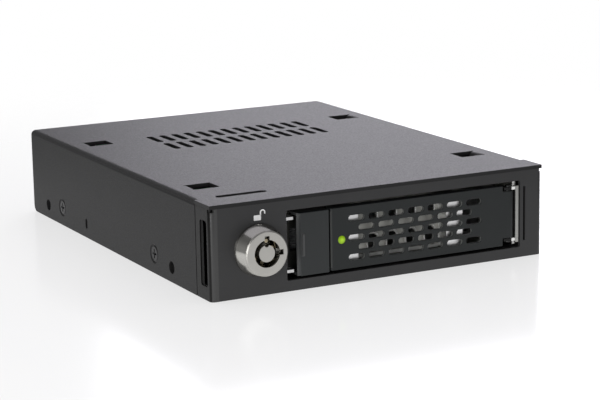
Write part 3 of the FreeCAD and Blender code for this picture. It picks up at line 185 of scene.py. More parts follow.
class ShaderSheet(NodeSheet):
    """One material's node sheet, with the nodes that the finishes share."""

    def __init__(self, name: str) -> None:
        """Start a material with a Principled shader.

        Args:
            name: The material's name.
        """
        self.material = bpy.data.materials.new(name)
        self.material.use_nodes = True
        super().__init__(self.material.node_tree)
        self.shader = self.tree.nodes["Principled BSDF"]
        self.place = self.add("TexCoord").outputs["Object"]

    def put(self, values: dict[str, Any]) -> None:
        """Set constants or links on the Principled shader.

        Args:
            values: Socket names, each with a number, a colour or an output socket.
        """
        self.fill(self.shader, values)

    def along(self, axis: str) -> Socket:
        """Give the place along one axis.

        Args:
            axis: X, Y or Z.

        Returns:
            The place in metres.
        """
        return self.add("SeparateXYZ", {"Vector": self.place}).outputs[axis]

    def band(self, axis: str, low_mm: float, high_mm: float, soft_mm: float) -> Socket:
        """Give 1 between two places along an axis and 0 outside them.

        Args:
            axis: X, Y or Z.
            low_mm: Where the band starts.
            high_mm: Where it ends.
            soft_mm: Half the width of its soft edges.

        Returns:
            The factor's socket.
        """
        middle, half = (low_mm + high_mm) / 2 * MM, (high_mm - low_mm) / 2 * MM
        offset = self.calculate("SUBTRACT", self.along(axis), middle)
        edge = (half - soft_mm * MM, half + soft_mm * MM)
        return self.ramp(self.calculate("ABSOLUTE", offset), edge, 1.0, 0.0)

    def mapped(self, stretch: Triple = (1, 1, 1), shift: Triple = (0, 0, 0)) -> Socket:
        """Give Object coordinates that are stretched and moved.

        Args:
            stretch: Factor along each axis.
            shift: Move along each axis, in metres.

        Returns:
            A vector socket.
        """
        values = {"Vector": self.place, "Scale": stretch, "Location": shift}
        return self.add("Mapping", values).outputs["Vector"]

    def radius(self, axis_mm: Reach) -> Socket:
        """Give the distance from an axis that runs along Y.

        Args:
            axis_mm: The axis's X and Z.

        Returns:
            The distance in metres.
        """
        x, z = axis_mm
        flat = self.mapped((1, 0, 1), (-x * MM, 0, -z * MM))
        return self.add("VectorMath", {0: flat}, operation="LENGTH").outputs["Value"]

    def noise(self, grain_mm: float, detail: float, stretch: Triple = (1, 1, 1)) -> Socket:
        """Give noise of a real grain size.

        Args:
            grain_mm: Size of one grain in millimetres.
            detail: Octaves of finer noise.
            stretch: Factor along each axis, below 1 for long grain.

        Returns:
            The noise's factor socket.
        """
        values = {"Vector": self.mapped(stretch), "Scale": 1 / (grain_mm * MM), "Detail": detail}
        return self.add("TexNoise", values).outputs["Fac"]

    def span(self, factor: Socket, ends: Reach, middle: float = 0.0) -> Socket:
        """Spread a noise's usual range over two values.

        Args:
            factor: The noise.
            ends: Values at the two ends of its usual range.
            middle: What is added to both.

        Returns:
            The value's socket.
        """
        return self.ramp(factor, NOISE_REACH, middle + ends[0], middle + ends[1], smooth=False)

    def blend(self, factor: Any, one: Any, two: Any) -> Socket:
        """Mix two colours.

        Args:
            factor: Number or socket, 0 for the first colour.
            one: First colour or socket.
            two: Second colour or socket.

        Returns:
            The mixed colour's socket.
        """
        return self.add("Mix", data_type="RGBA", values={0: factor, 6: one, 7: two}).outputs[2]

    def bump(self, height: Socket, depth_mm: float, strength: float = 1.0,
             over: Socket | None = None) -> Socket:
        """Turn a height into a surface normal.

        Args:
            height: Socket that runs 0 to 1.
            depth_mm: Height of 1, in millimetres.
            strength: Share of the effect.
            over: Normal that the height is laid over, if not the surface's own.

        Returns:
            The normal's socket.
        """
        values = {"Height": height, "Distance": depth_mm * MM, "Strength": strength}
        if over is not None:
            values["Normal"] = over
        return self.add("Bump", values).outputs["Normal"]


@dataclass(frozen=True)
class Patch:
    """A part of a surface, by its place, with its own tone and maybe metal share or gloss."""

    colour: Colour
    x_mm: Reach
    z_mm: Reach
    y_mm: Reach | None = None
    soft_mm: float = 0.15
    metal: float | None = None
    gloss: float | None = None

    def factor(self, sheet: ShaderSheet) -> Socket:
        """Give 1 inside the patch and 0 outside it.

        Args:
            sheet: The sheet that takes the nodes.

        Returns:
            The factor's socket.
        """
        inside = sheet.band("X", *self.x_mm, self.soft_mm)
        for axis, reach in (("Z", self.z_mm), ("Y", self.y_mm)):
            if reach is not None:
                across = sheet.band(axis, *reach, self.soft_mm)
                inside = sheet.calculate("MULTIPLY", inside, across)
        return inside


@dataclass(frozen=True)
class Finish:
    """A finish, made into one material the first time that it is used."""

    name: str
    slot: Slot
    colour: Colour
    patches: tuple[Patch, ...] = field(default=(), kw_only=True)

    def material(self) -> bpy.types.Material:
        """Give the finish's material.

        Returns:
            The same material each time.
        """
        made = bpy.data.materials.get(self.name)
        if made is None:
            sheet = ShaderSheet(self.name)
            self.draw(sheet)
            made = sheet.material
        return made

    def draw(self, sheet: ShaderSheet) -> None:
        """Put the finish's nodes on a sheet.

        Args:
            sheet: The sheet that takes the nodes.
        """
        raise NotImplementedError

    def shade(self, factor: float) -> Colour:
        """Give the colour, lighter or darker.

        Args:
            factor: Above 1 for lighter.

        Returns:
            The colour times the factor.
        """
        return tuple(part * factor for part in self.colour)

    def mottled(self, sheet: ShaderSheet, factor: Socket, shades: Reach) -> Socket:
        """Let the colour's shade follow a factor.

        Args:
            sheet: The sheet that takes the nodes.
            factor: Socket that runs 0 to 1.
            shades: Shades of the colour at its two ends.

        Returns:
            A colour socket.
        """
        return sheet.blend(factor, *map(self.shade, shades))

    def patched(self, sheet: ShaderSheet, tone: Socket) -> Socket:
        """Lay the finish's patches over a tone.

        Args:
            sheet: The sheet that takes the nodes.
            tone: The colour outside the patches.

        Returns:
            A colour socket.
        """
        for patch in self.patches:
            tone = sheet.blend(patch.factor(sheet), tone, patch.colour)
        return tone

    def placed(self, sheet: ShaderSheet, number: float,
               pick: Callable[[Patch], float | None]) -> Any:
        """Lay the patches' own numbers over a number.

        Args:
            sheet: The sheet that takes the nodes.
            number: The number outside the patches.
            pick: Gives a patch's own number, or None where it has none.

        Returns:
            A socket, or the number itself where no patch has its own.
        """
        placed: Any = number
        for patch in self.patches:
            own = pick(patch)
            if own is not None:
                placed = sheet.ramp(patch.factor(sheet), (0.0, 1.0), placed, own)
        return placed


@dataclass(frozen=True)
class PowderCoat(Finish):
    """Black powder coat: a fine leathery grain over a slight unevenness."""

    roughness: float = 0.5
    grain_mm: float = 0.35
    grain_depth_mm: float = 0.02
    gloss: float = 0.25
    grain_share: float = 0.55
    rough_spread: Reach = (-0.06, 0.08)
    cloud_mm: float = 9.0
    cloud_shades: Reach = (0.88, 1.12)

    def draw(self, sheet: ShaderSheet) -> None:
        """Put the coat's nodes on a sheet.

        Args:
            sheet: The sheet that takes the nodes.
        """
        grain = sheet.noise(self.grain_mm, detail=3)
        clouds = sheet.noise(self.cloud_mm, detail=2)
        sheet.put({
            "Base Color": self.patched(sheet, self.mottled(sheet, clouds, self.cloud_shades)),
            "Roughness": sheet.span(grain, self.rough_spread, self.roughness),
            "Normal": sheet.bump(grain, self.grain_depth_mm, self.grain_share),
            "Specular IOR Level": self.placed(sheet, self.gloss, lambda patch: patch.gloss)})


@dataclass(frozen=True)
class Moulding(Finish):
    """Moulded plastic with a fine spark-eroded grain."""

    roughness: float = 0.45
    grain_mm: float = 0.22
    gloss: float = 0.3
    grain_depth_mm: float = 0.012
    grain_share: float = 0.4
    rough_spread: Reach = (-0.05, 0.07)
    flow_mm: float = 6.0
    flow_stretch: Triple = (1, 1, 0.3)
    flow_shades: Reach = (0.9, 1.1)

    def draw(self, sheet: ShaderSheet) -> None:
        """Put the moulding's nodes on a sheet.

        Args:
            sheet: The sheet that takes the nodes.
        """
        grain = sheet.noise(self.grain_mm, detail=2)
        flow = sheet.noise(self.flow_mm, 1, self.flow_stretch)
        sheet.put({
            "Base Color": self.patched(sheet, self.mottled(sheet, flow, self.flow_shades)),
            "Roughness": sheet.span(grain, self.rough_spread, self.roughness),
            "Normal": sheet.bump(grain, self.grain_depth_mm, self.grain_share),
            "Specular IOR Level": self.gloss})


@dataclass(frozen=True)
class TurnedMetal(Finish):
    """Plated metal with fine rings about an axis along Y, a polished flank and painted shade in its
    bore.

    The flank's normals lean outwards by the given slope between the mouth and the base.
    """

    axis_mm: Reach = (0.0, 0.0)
    roughness: float = 0.34
    rough_spread: Reach = (-0.06, 0.08)
    polish: float = 0.4
    polish_fade_mm: float = 0.3
    ring_mm: float = 0.12
    ring_depth_mm: float = 0.0006
    ring_share: float = 0.3
    stain_mm: float = 3.0
    stain_shades: Reach = (0.93, 1.05)
    bore_mm: float = 4.75
    bore_edge: float = 1.03
    bore_fade_mm: float = 0.8
    bore_painted_shade: float = 0.75
    mouth_mm: float = -69.85
    base_mm: float = -65.0
    lean: float = 0.24

    def draw(self, sheet: ShaderSheet) -> None:
        """Put the rings, the bore's shadow and the flank's polish and lean on a sheet.

        Args:
            sheet: The sheet that takes the nodes.
        """
        depth, radius = sheet.along("Y"), sheet.radius(self.axis_mm)
        mouth, bore = self.mouth_mm * MM, self.bore_mm * MM
        path = sheet.calculate("SUBTRACT", radius, depth)
        values = {"W": path, "Scale": 1 / (self.ring_mm * MM), "Detail": 2.0}
        rings = sheet.add("TexNoise", values, noise_dimensions="1D").outputs["Fac"]
        tone = self.mottled(sheet, sheet.noise(self.stain_mm, detail=3), self.stain_shades)
        # painted shade in the bore: darker inside its radius and behind its mouth
        within = sheet.ramp(radius, (bore, self.bore_edge * bore), 1.0, 0.0)
        behind = sheet.ramp(depth, (mouth, mouth + self.bore_fade_mm * MM), 0.0, 1.0)
        shadow = sheet.calculate("MULTIPLY", within, behind)
        satin = sheet.span(rings, self.rough_spread, self.roughness)
        flank = sheet.ramp(depth, (mouth, mouth + self.polish_fade_mm * MM), 1.0, self.polish)
        taper = sheet.ramp(depth, (mouth, self.base_mm * MM), 0.0, 1.0, smooth=False)
        leaning = sheet.bump(taper, self.lean * (self.base_mm - self.mouth_mm))
        sheet.put({
            "Base Color": sheet.blend(shadow, tone, self.shade(self.bore_painted_shade)),
            "Metallic": 1.0,
            "Roughness": sheet.calculate("MULTIPLY", satin, flank),
            "Normal": sheet.bump(rings, self.ring_depth_mm, self.ring_share, leaning)})


@dataclass(frozen=True)
class SheetMetal(Finish):
    """Plain or plated sheet: long rolling marks over faint crystals."""

    roughness: float = 0.34
    crystal_mm: float = 5.0
    roll: Triple = (0.03, 1.0, 1.0)
    metal: float = 1.0
    crystal_shades: Reach = (0.92, 1.06)
    mark_mm: float = 0.25
    mark_depth_mm: float = 0.006
    mark_share: float = 0.35
    rough_spread: Reach = (-0.1, 0.1)

    def draw(self, sheet: ShaderSheet) -> None:
        """Put the crystals and rolling marks on a sheet.

        Args:
            sheet: The sheet that takes the nodes.
        """
        values = {"Vector": sheet.place, "Scale": 1 / (self.crystal_mm * MM)}
        cells = sheet.add("TexVoronoi", values).outputs["Color"]
        grey = sheet.add("RGBToBW", {"Color": cells}).outputs["Val"]
        marks = sheet.noise(self.mark_mm, 3, self.roll)
        sheet.put({
            "Base Color": self.patched(sheet, self.mottled(sheet, grey, self.crystal_shades)),
            "Metallic": self.placed(sheet, self.metal, lambda patch: patch.metal),
            "Roughness": sheet.span(marks, self.rough_spread, self.roughness),
            "Normal": sheet.bump(marks, self.mark_depth_mm, self.mark_share)})


@dataclass(frozen=True)
class GoldFlash(Finish):
    """Thin gold on spring contacts, duller where it is wiped."""

    roughness: float = 0.25
    rough_spread: Reach = (0.0, 0.18)
    wipe_mm: float = 0.5
    wipe_stretch: Triple = (1, 0.1, 1)
    wipe_shades: Reach = (0.85, 1.05)

    def draw(self, sheet: ShaderSheet) -> None:
        """Put the gold's nodes on a sheet.

        Args:
            sheet: The sheet that takes the nodes.
        """
        wipe = sheet.noise(self.wipe_mm, 2, self.wipe_stretch)
        sheet.put({
            "Base Color": self.mottled(sheet, wipe, self.wipe_shades),
            "Metallic": 1.0,
            "Roughness": sheet.span(wipe, self.rough_spread, self.roughness)})


@dataclass(frozen=True)
class SolderMask(Finish):
    """Circuit board lacquer with tracks that show through it."""

    roughness: float = 0.28
    track_mm: float = 2.2
    track_depth_mm: float = 0.03
    track_share: float = 0.3
    track_shades: Reach = (0.75, 1.35)

    def draw(self, sheet: ShaderSheet) -> None:
        """Put the tracks and lacquer on a sheet.

        Args:
            sheet: The sheet that takes the nodes.
        """
        values = {"Vector": sheet.place, "Scale": 1 / (self.track_mm * MM)}
        cells = sheet.add("TexVoronoi", values, distance="MANHATTAN", feature="F2")
        tracks = sheet.span(cells.outputs["Distance"], (0.0, 1.0))
        sheet.put({
            "Base Color": self.mottled(sheet, tracks, self.track_shades),
            "Roughness": self.roughness,
            "Normal": sheet.bump(tracks, self.track_depth_mm, self.track_share)})


@dataclass(frozen=True)
class ClearBar(Finish):
    """Clear acrylic with faint moulding waves."""

    refraction: float = 1.49
    wave_mm: float = 2.5
    wave_depth_mm: float = 0.02
    wave_share: float = 0.2
    rough_reach: Reach = (0.03, 0.1)

    def draw(self, sheet: ShaderSheet) -> None:
        """Put the acrylic's nodes on a sheet.

        Args:
            sheet: The sheet that takes the nodes.
        """
        waves = sheet.noise(self.wave_mm, detail=1)
        sheet.put({
            "Base Color": self.colour,
            "Transmission Weight": 1.0,
            "IOR": self.refraction,
            "Roughness": sheet.span(waves, self.rough_reach),
            "Normal": sheet.bump(waves, self.wave_depth_mm, self.wave_share)})


@dataclass(frozen=True)
class LitLens(Finish):
    """Tinted lens with the lamp's light in it, brightest in the middle, with painted shade at its
    rim.
    """

    centre_mm: Reach = (0.0, 0.0)
    radius_mm: float = 1.1
    strength: float = 0.2
    glow_to_painted_rim_shade: Reach = (1.15, 0.5)
    roughness: float = 0.18
    refraction: float = 1.5

    def draw(self, sheet: ShaderSheet) -> None:
        """Put the tint and the glow on a sheet.

        Args:
            sheet: The sheet that takes the nodes.
        """
        radius = sheet.radius(self.centre_mm)
        outward = sheet.ramp(radius, (0.0, self.radius_mm * MM), 0.0, 1.0, smooth=False)
        # the tone falls from the lamp's glow in the middle to painted shade at the rim, in colour
        # and glow alike
        glow = self.mottled(sheet, outward, self.glow_to_painted_rim_shade)
        sheet.put({
            "Base Color": glow,
            "Emission Color": glow,
            "Emission Strength": self.strength,
            "Roughness": self.roughness,
            "IOR": self.refraction})


@dataclass(frozen=True)
class SignInk(Finish):
    """Screen-printed ink, slightly uneven."""

    cover_mm: float = 0.3
    cover_shades: Reach = (0.9, 1.05)
    rough_reach: Reach = (0.45, 0.6)

    def draw(self, sheet: ShaderSheet) -> None:
        """Put the ink's nodes on a sheet.

        Args:
            sheet: The sheet that takes the nodes.
        """
        cover = sheet.noise(self.cover_mm, detail=2)
        sheet.put({
            "Base Color": self.mottled(sheet, cover, self.cover_shades),
            "Roughness": sheet.span(cover, self.rough_reach)})


LOCK_AXIS_MM = (-37.05, 12.3)
LENS_CENTRE_MM = (-12.4, 11.85)

FINE_EDGE_MM = 0.05
# painted light for the plate's two ribs
RIB_PAINTED_LIGHT = (0.9, 0.9, 0.9)
# white zinc of the vent collars, also laid on the front plate as painted highlights
WHITE_ZINC_AND_PAINTED_HIGHLIGHT = (0.95, 0.95, 0.93)
PLATE_RISE_MM = (3.5, 21.4)
RIB_RISE_MM = (4.9, 19.7)
NOTCH_X_MM, NOTCH_Y_MM = (42.2, 43.0), (-63.5, -62.95)
FLAP_RISE_MM, FLAP_SHEET_MM = (4.6, 19.8), (-64.75, -64.2)

PLATE_PATCHES = (
    # middle, painted a lighter shade than the rest of the plate, and the strip at its foot, painted
    # white as a highlight
    Patch((0.5, 0.5, 0.47), (-6.6, 36.0), (4.4, 19.8)),
    Patch(WHITE_ZINC_AND_PAINTED_HIGHLIGHT, (-6.6, 20.6), (4.85, 5.75), metal=0.0),
    # the two ribs, painted light where light falls on them through the flap
    Patch(RIB_PAINTED_LIGHT, (-10.5, -6.6), RIB_RISE_MM),
    Patch(RIB_PAINTED_LIGHT, (20.6, 26.0), RIB_RISE_MM),
    # hinge ears, darkened by painted shade, and their ends, painted white as highlights
    Patch((0.03, 0.03, 0.03), (36.0, 41.1), PLATE_RISE_MM, (-65.0, -61.0)),
    Patch(WHITE_ZINC_AND_PAINTED_HIGHLIGHT, (41.1, 42.2), PLATE_RISE_MM, (-65.0, -63.6), FINE_EDGE_MM, metal=0.0),
    # hinge cheek, painted lighter than the shaded plate, and its notches, painted white as
    # highlights
    Patch((0.42, 0.42, 0.4), (42.2, 43.5), PLATE_RISE_MM),
    Patch(WHITE_ZINC_AND_PAINTED_HIGHLIGHT, NOTCH_X_MM, (19.9, 21.4), NOTCH_Y_MM, FINE_EDGE_MM, metal=0.0),
    Patch(WHITE_ZINC_AND_PAINTED_HIGHLIGHT, NOTCH_X_MM, (3.5, 4.4), NOTCH_Y_MM, FINE_EDGE_MM, metal=0.0),
    # button ears, painted lighter than the shaded plate
    Patch((0.8, 0.8, 0.8), (-28.6, -25.9), PLATE_RISE_MM),
)
BEZEL_PATCHES = (
    # left flange, darkened by painted shade, and a painted highlight on the bend beside it
    Patch((0.008, 0.008, 0.008), (-52.0, -50.4), (-1.0, 26.0), gloss=0.16),
    Patch((0.058, 0.058, 0.058), (-50.4, -48.6), (0.0, 24.4)),
)
DOOR_PATCHES = (
    # edges of the holes and of the left end, painted lighter as highlights
    Patch((0.14, 0.145, 0.14), (-11.0, 41.0), FLAP_RISE_MM, FLAP_SHEET_MM, FINE_EDGE_MM),
    Patch((0.05, 0.052, 0.05), (-15.7, -15.2), FLAP_RISE_MM, FLAP_SHEET_MM, FINE_EDGE_MM),
)
ZINC_PATCHES = (
    # hinge pin, darkened by painted shade in the flap's hinge notch
    Patch((0.08, 0.08, 0.08), (39.5, 41.7), (3.0, 22.0), (-65.0, -62.0)),
)
BUTTON_PATCHES = (
    # thumb rib and left edge, painted lighter as highlights
    Patch((0.06, 0.062, 0.063), (-24.35, -23.6), (8.8, 15.1)),
    Patch((0.05, 0.052, 0.053), (-26.0, -24.95), (3.5, 20.6)),
)

CASING_COAT = PowderCoat("casing_powder_coat", Slot.CASING, (0.019, 0.019, 0.0195), 0.5)
BEZEL_COAT = PowderCoat("bezel_powder_coat", Slot.BEZEL, (0.034, 0.034, 0.035), 0.37,
                        gloss=0.36, patches=BEZEL_PATCHES)
DOOR_COAT = PowderCoat("door_satin_paint", Slot.DOOR, (0.021, 0.0235, 0.024), 0.42, 0.3, 0.012,
                       patches=DOOR_PATCHES)
BUTTON_PLASTIC = Moulding("button_moulding", Slot.BUTTON, (0.017, 0.020, 0.021), 0.36,
                          gloss=0.45, patches=BUTTON_PATCHES)
RAIL_PLASTIC = Moulding("rail_moulding", Slot.RAIL, (0.03, 0.03, 0.032), 0.4)
CONNECTOR_PLASTIC = Moulding("connector_moulding", Slot.CONNECTOR, (0.018, 0.018, 0.02), 0.38)
LAMP_PLASTIC = Moulding("lamp_moulding", Slot.LAMP, (0.8, 0.81, 0.76), 0.35)
LOCK_NICKEL = TurnedMetal("lock_satin_nickel", Slot.NICKEL, (0.53, 0.52, 0.49), LOCK_AXIS_MM)
LOCK_BRASS = TurnedMetal("lock_pin_brass", Slot.BRASS, (0.5, 0.43, 0.3), LOCK_AXIS_MM, 0.45)
BLACK_OXIDE = SheetMetal("screw_black_oxide", Slot.SCREW, (0.045, 0.045, 0.046), 0.36, 2.0)
ZINC_PLATE = SheetMetal("bright_zinc_plate", Slot.ZINC, (0.6, 0.61, 0.62), 0.3,
                        patches=ZINC_PATCHES)
TRAY_SHEET = SheetMetal("tray_galvanised_sheet", Slot.TRAY, (0.72, 0.72, 0.71), 0.36)
# the front plate's own tone is darkened by painted shade, as it lies deep inside the casing; its
# patches paint light and shade by place
PLATE_SHEET = SheetMetal("plate_dull_sheet", Slot.TRAY, (0.2, 0.2, 0.185), 0.4,
                         patches=PLATE_PATCHES)
COLLAR_SHEET = SheetMetal("collar_white_zinc", Slot.TRAY, WHITE_ZINC_AND_PAINTED_HIGHLIGHT, 0.3, metal=0.3)
SPRING_STRIP = SheetMetal("spring_bright_strip", Slot.SPRING, (0.45, 0.46, 0.47), 0.25, 8.0,
                          (1, 1, 0.03))
CONTACT_GOLD = GoldFlash("contact_gold_flash", Slot.CONTACT, (0.83, 0.65, 0.24))
BOARD_MASK = SolderMask("board_solder_mask", Slot.BOARD, (0.02, 0.14, 0.055))
CLEAR_ACRYLIC = ClearBar("light_guide_acrylic", Slot.CLEAR, (0.93, 0.95, 0.95))
LENS_TINT = LitLens("lens_green_tint", Slot.LENS, (0.36, 0.63, 0.004), LENS_CENTRE_MM)
WHITE_INK = SignInk("sign_white_ink", Slot.LAMP, (0.9, 0.9, 0.9))


def dress_node(name: str, finish: Finish, edge_mm: float = 0.0) -> None:
    """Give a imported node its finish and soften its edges.

    Args:
        name: The node.
        finish: Its finish.
        edge_mm: Width of the softened edges, 0 to leave them sharp.
    """
    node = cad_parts[name]
    for slot in node.material_slots:
        slot.material = finish.material()
    if edge_mm:
        soften_edges(node, edge_mm)
    LOG.info("dressed %s in %s", name, finish.name)


def soften_edges(thing: bpy.types.Object, width_mm: float) -> None:
    """Round an object's sharp edges with modifiers that leave its mesh as it is.

    Args:
        thing: The object.
        width_mm: Width of the rounding.
    """
    weld = thing.modifiers.new("weld", "WELD")
    weld.merge_threshold = WELD_METRES
    flats = thing.modifiers.new("flats", "DECIMATE")
    flats.decimate_type = "DISSOLVE"
    flats.angle_limit = math.radians(FLAT_DEGREES)
    edges = thing.modifiers.new("edges", "BEVEL")
    edges.limit_method = "ANGLE"
    edges.angle_limit = math.radians(SHARP_DEGREES)
    edges.width = width_mm * MM
    edges.segments = EDGE_SEGMENTS


def new_piece(shape: Shape, name: str, body: Body, finish: Finish,
              smooth_degrees: float = 0.0) -> None:
    """Make a piece from a finished shape and fix it to a body.

    Args:
        shape: The shape, in metres in the row frame; it is freed.
        name: The piece's name.
        body: The body that carries it.
        finish: Its finish.
        smooth_degrees: Edges flatter than this are shaded smooth, 0 for none.
    """
    mesh = bpy.data.meshes.new(name)
    shape.to_mesh(mesh)
    shape.free()
    mesh.materials.append(finish.material())
    if smooth_degrees:
        mesh.shade_smooth()
        mesh.set_sharp_from_angle(angle=math.radians(smooth_degrees))
    piece = bpy.data.objects.new(name, mesh)
    bpy.context.scene.collection.objects.link(piece)
    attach(piece, body.value)
    LOG.info("built %s on %s: %d faces", name, body.value, len(mesh.polygons))


def scatter(make: Callable[[Shape], None], spots: Iterable[tuple[Vector, Way]]) -> Shape:
    """Build a shape once at each of several places.

    Args:
        make: Adds one shape to a bmesh, in millimetres, standing on the origin along +Z.
        spots: Places in millimetres, each with the way that the shape points.

    Returns:
        All the shapes together, in metres.
    """
    whole = bmesh.new()
    draft = bpy.data.meshes.new("draft")
    for spot, way in spots:
        one = bmesh.new()
        make(one)
        matrix = Matrix.Scale(MM, 4) @ Matrix.Translation(spot) @ way.turn()
        bmesh.ops.transform(one, matrix=matrix, verts=one.verts)
        bmesh.ops.recalc_face_normals(one, faces=one.faces)
        one.to_mesh(draft)
        one.free()
        whole.from_mesh(draft)
    bpy.data.meshes.remove(draft)
    return whole


def spin_profile(whole: Shape, profile: Sequence[Reach], steps: int) -> None:
    """Turn a profile of radius and height round the Z axis.

    Args:
        whole: The bmesh that takes the shape.
        profile: Points from one pole or rim to the other, in millimetres.
        steps: Faces round the turn.
    """
    points = [whole.verts.new((radius, 0, height)) for radius, height in profile]
    edges = [whole.edges.new(pair) for pair in zip(points, points[1:])]
    bmesh.ops.spin(whole, geom=points + edges, cent=(0, 0, 0), axis=(0, 0, 1),
                   angle=2 * math.pi, steps=steps, use_merge=True)
    bmesh.ops.remove_doubles(whole, verts=whole.verts, dist=MERGE_MM)


def open_edges(whole: Shape) -> list[bmesh.types.BMEdge]:
    """Give the edges that close only one face.

    Args:
        whole: The bmesh.

    Returns:
        Its open edges.
    """
    return [edge for edge in whole.edges if edge.is_boundary]


def new_verts(made: dict[str, Any]) -> list[bmesh.types.BMVert]:
    """Give the vertices that an extrusion made.

    Args:
        made: What the extrusion returned.

    Returns:
        The vertices in its geometry.
    """
    return [item for item in made["geom"] if isinstance(item, bmesh.types.BMVert)]


@dataclass
class CrossScrew:
    """Countersunk screw head with a sloping rim and a cross recess."""

    head_mm: float
    depth_mm: float
    neck_mm: float
    recess_mm: float = 0.55
    recess_width_mm: float = 0.6
    recess_reach_mm: float = 1.35
    recess_taper: float = 0.6
    rim_mm: float = 0.45
    rise_mm: float = 0.2
    segments: int = 48

    def add(self, whole: Shape) -> None:
        """Add a head whose top lies at height zero.

        Args:
            whole: An empty bmesh that takes the head.
        """
        cross = self.add_cross(whole)
        bmesh.ops.create_circle(whole, cap_ends=False, segments=self.segments,
                                radius=self.head_mm / 2 - self.rim_mm)
        outline = [edge for edge in whole.edges if edge.is_boundary or edge.is_wire]
        bmesh.ops.triangle_fill(whole, use_beauty=True, edges=outline)
        self.sink(whole, cross)
        self.step_down(whole, self.head_mm / (self.head_mm - 2 * self.rim_mm), self.rise_mm)
        self.step_down(whole, self.neck_mm / self.head_mm, self.depth_mm)
        bmesh.ops.contextual_create(whole, geom=open_edges(whole))

    def add_cross(self, whole: Shape) -> list[bmesh.types.BMFace]:
        """Add the flat cross, as a grid of nine fields without its corners.

        Args:
            whole: An empty bmesh that takes the cross.

        Returns:
            The cross's five faces.
        """
        reach, half = self.recess_reach_mm, self.recess_width_mm / 2
        bmesh.ops.create_grid(whole, x_segments=3, y_segments=3, size=reach)
        for vert in whole.verts:
            for axis in (0, 1):
                if abs(vert.co[axis]) < reach / 2:
                    vert.co[axis] = math.copysign(half, vert.co[axis])
        corners = [face for face in whole.faces
                   if min(map(abs, face.calc_center_median()[:2])) > half]
        bmesh.ops.delete(whole, geom=corners, context="FACES")
        return list(whole.faces)

    def sink(self, whole: Shape, cross: Sequence[bmesh.types.BMFace]) -> None:
        """Sink the cross, narrower at its floor.

        Args:
            whole: The bmesh that holds the head.
            cross: Faces of the cross.
        """
        floor = new_verts(bmesh.ops.extrude_face_region(whole, geom=cross))
        bmesh.ops.delete(whole, geom=cross, context="FACES_ONLY")
        bmesh.ops.scale(whole, vec=(self.recess_taper, self.recess_taper, 1), verts=floor)
        bmesh.ops.translate(whole, vec=(0, 0, -self.recess_mm), verts=floor)

    def step_down(self, whole: Shape, share: float, drop_mm: float) -> None:
        """Carry the open edge down to another radius.

        Args:
            whole: The bmesh that holds the head.
            share: New radius over the old one.
            drop_mm: How far down it goes.
        """
        lower = new_verts(bmesh.ops.extrude_edge_only(whole, edges=open_edges(whole)))
        bmesh.ops.scale(whole, vec=(share, share, 1), verts=lower)
        bmesh.ops.translate(whole, vec=(0, 0, -drop_mm), verts=lower)


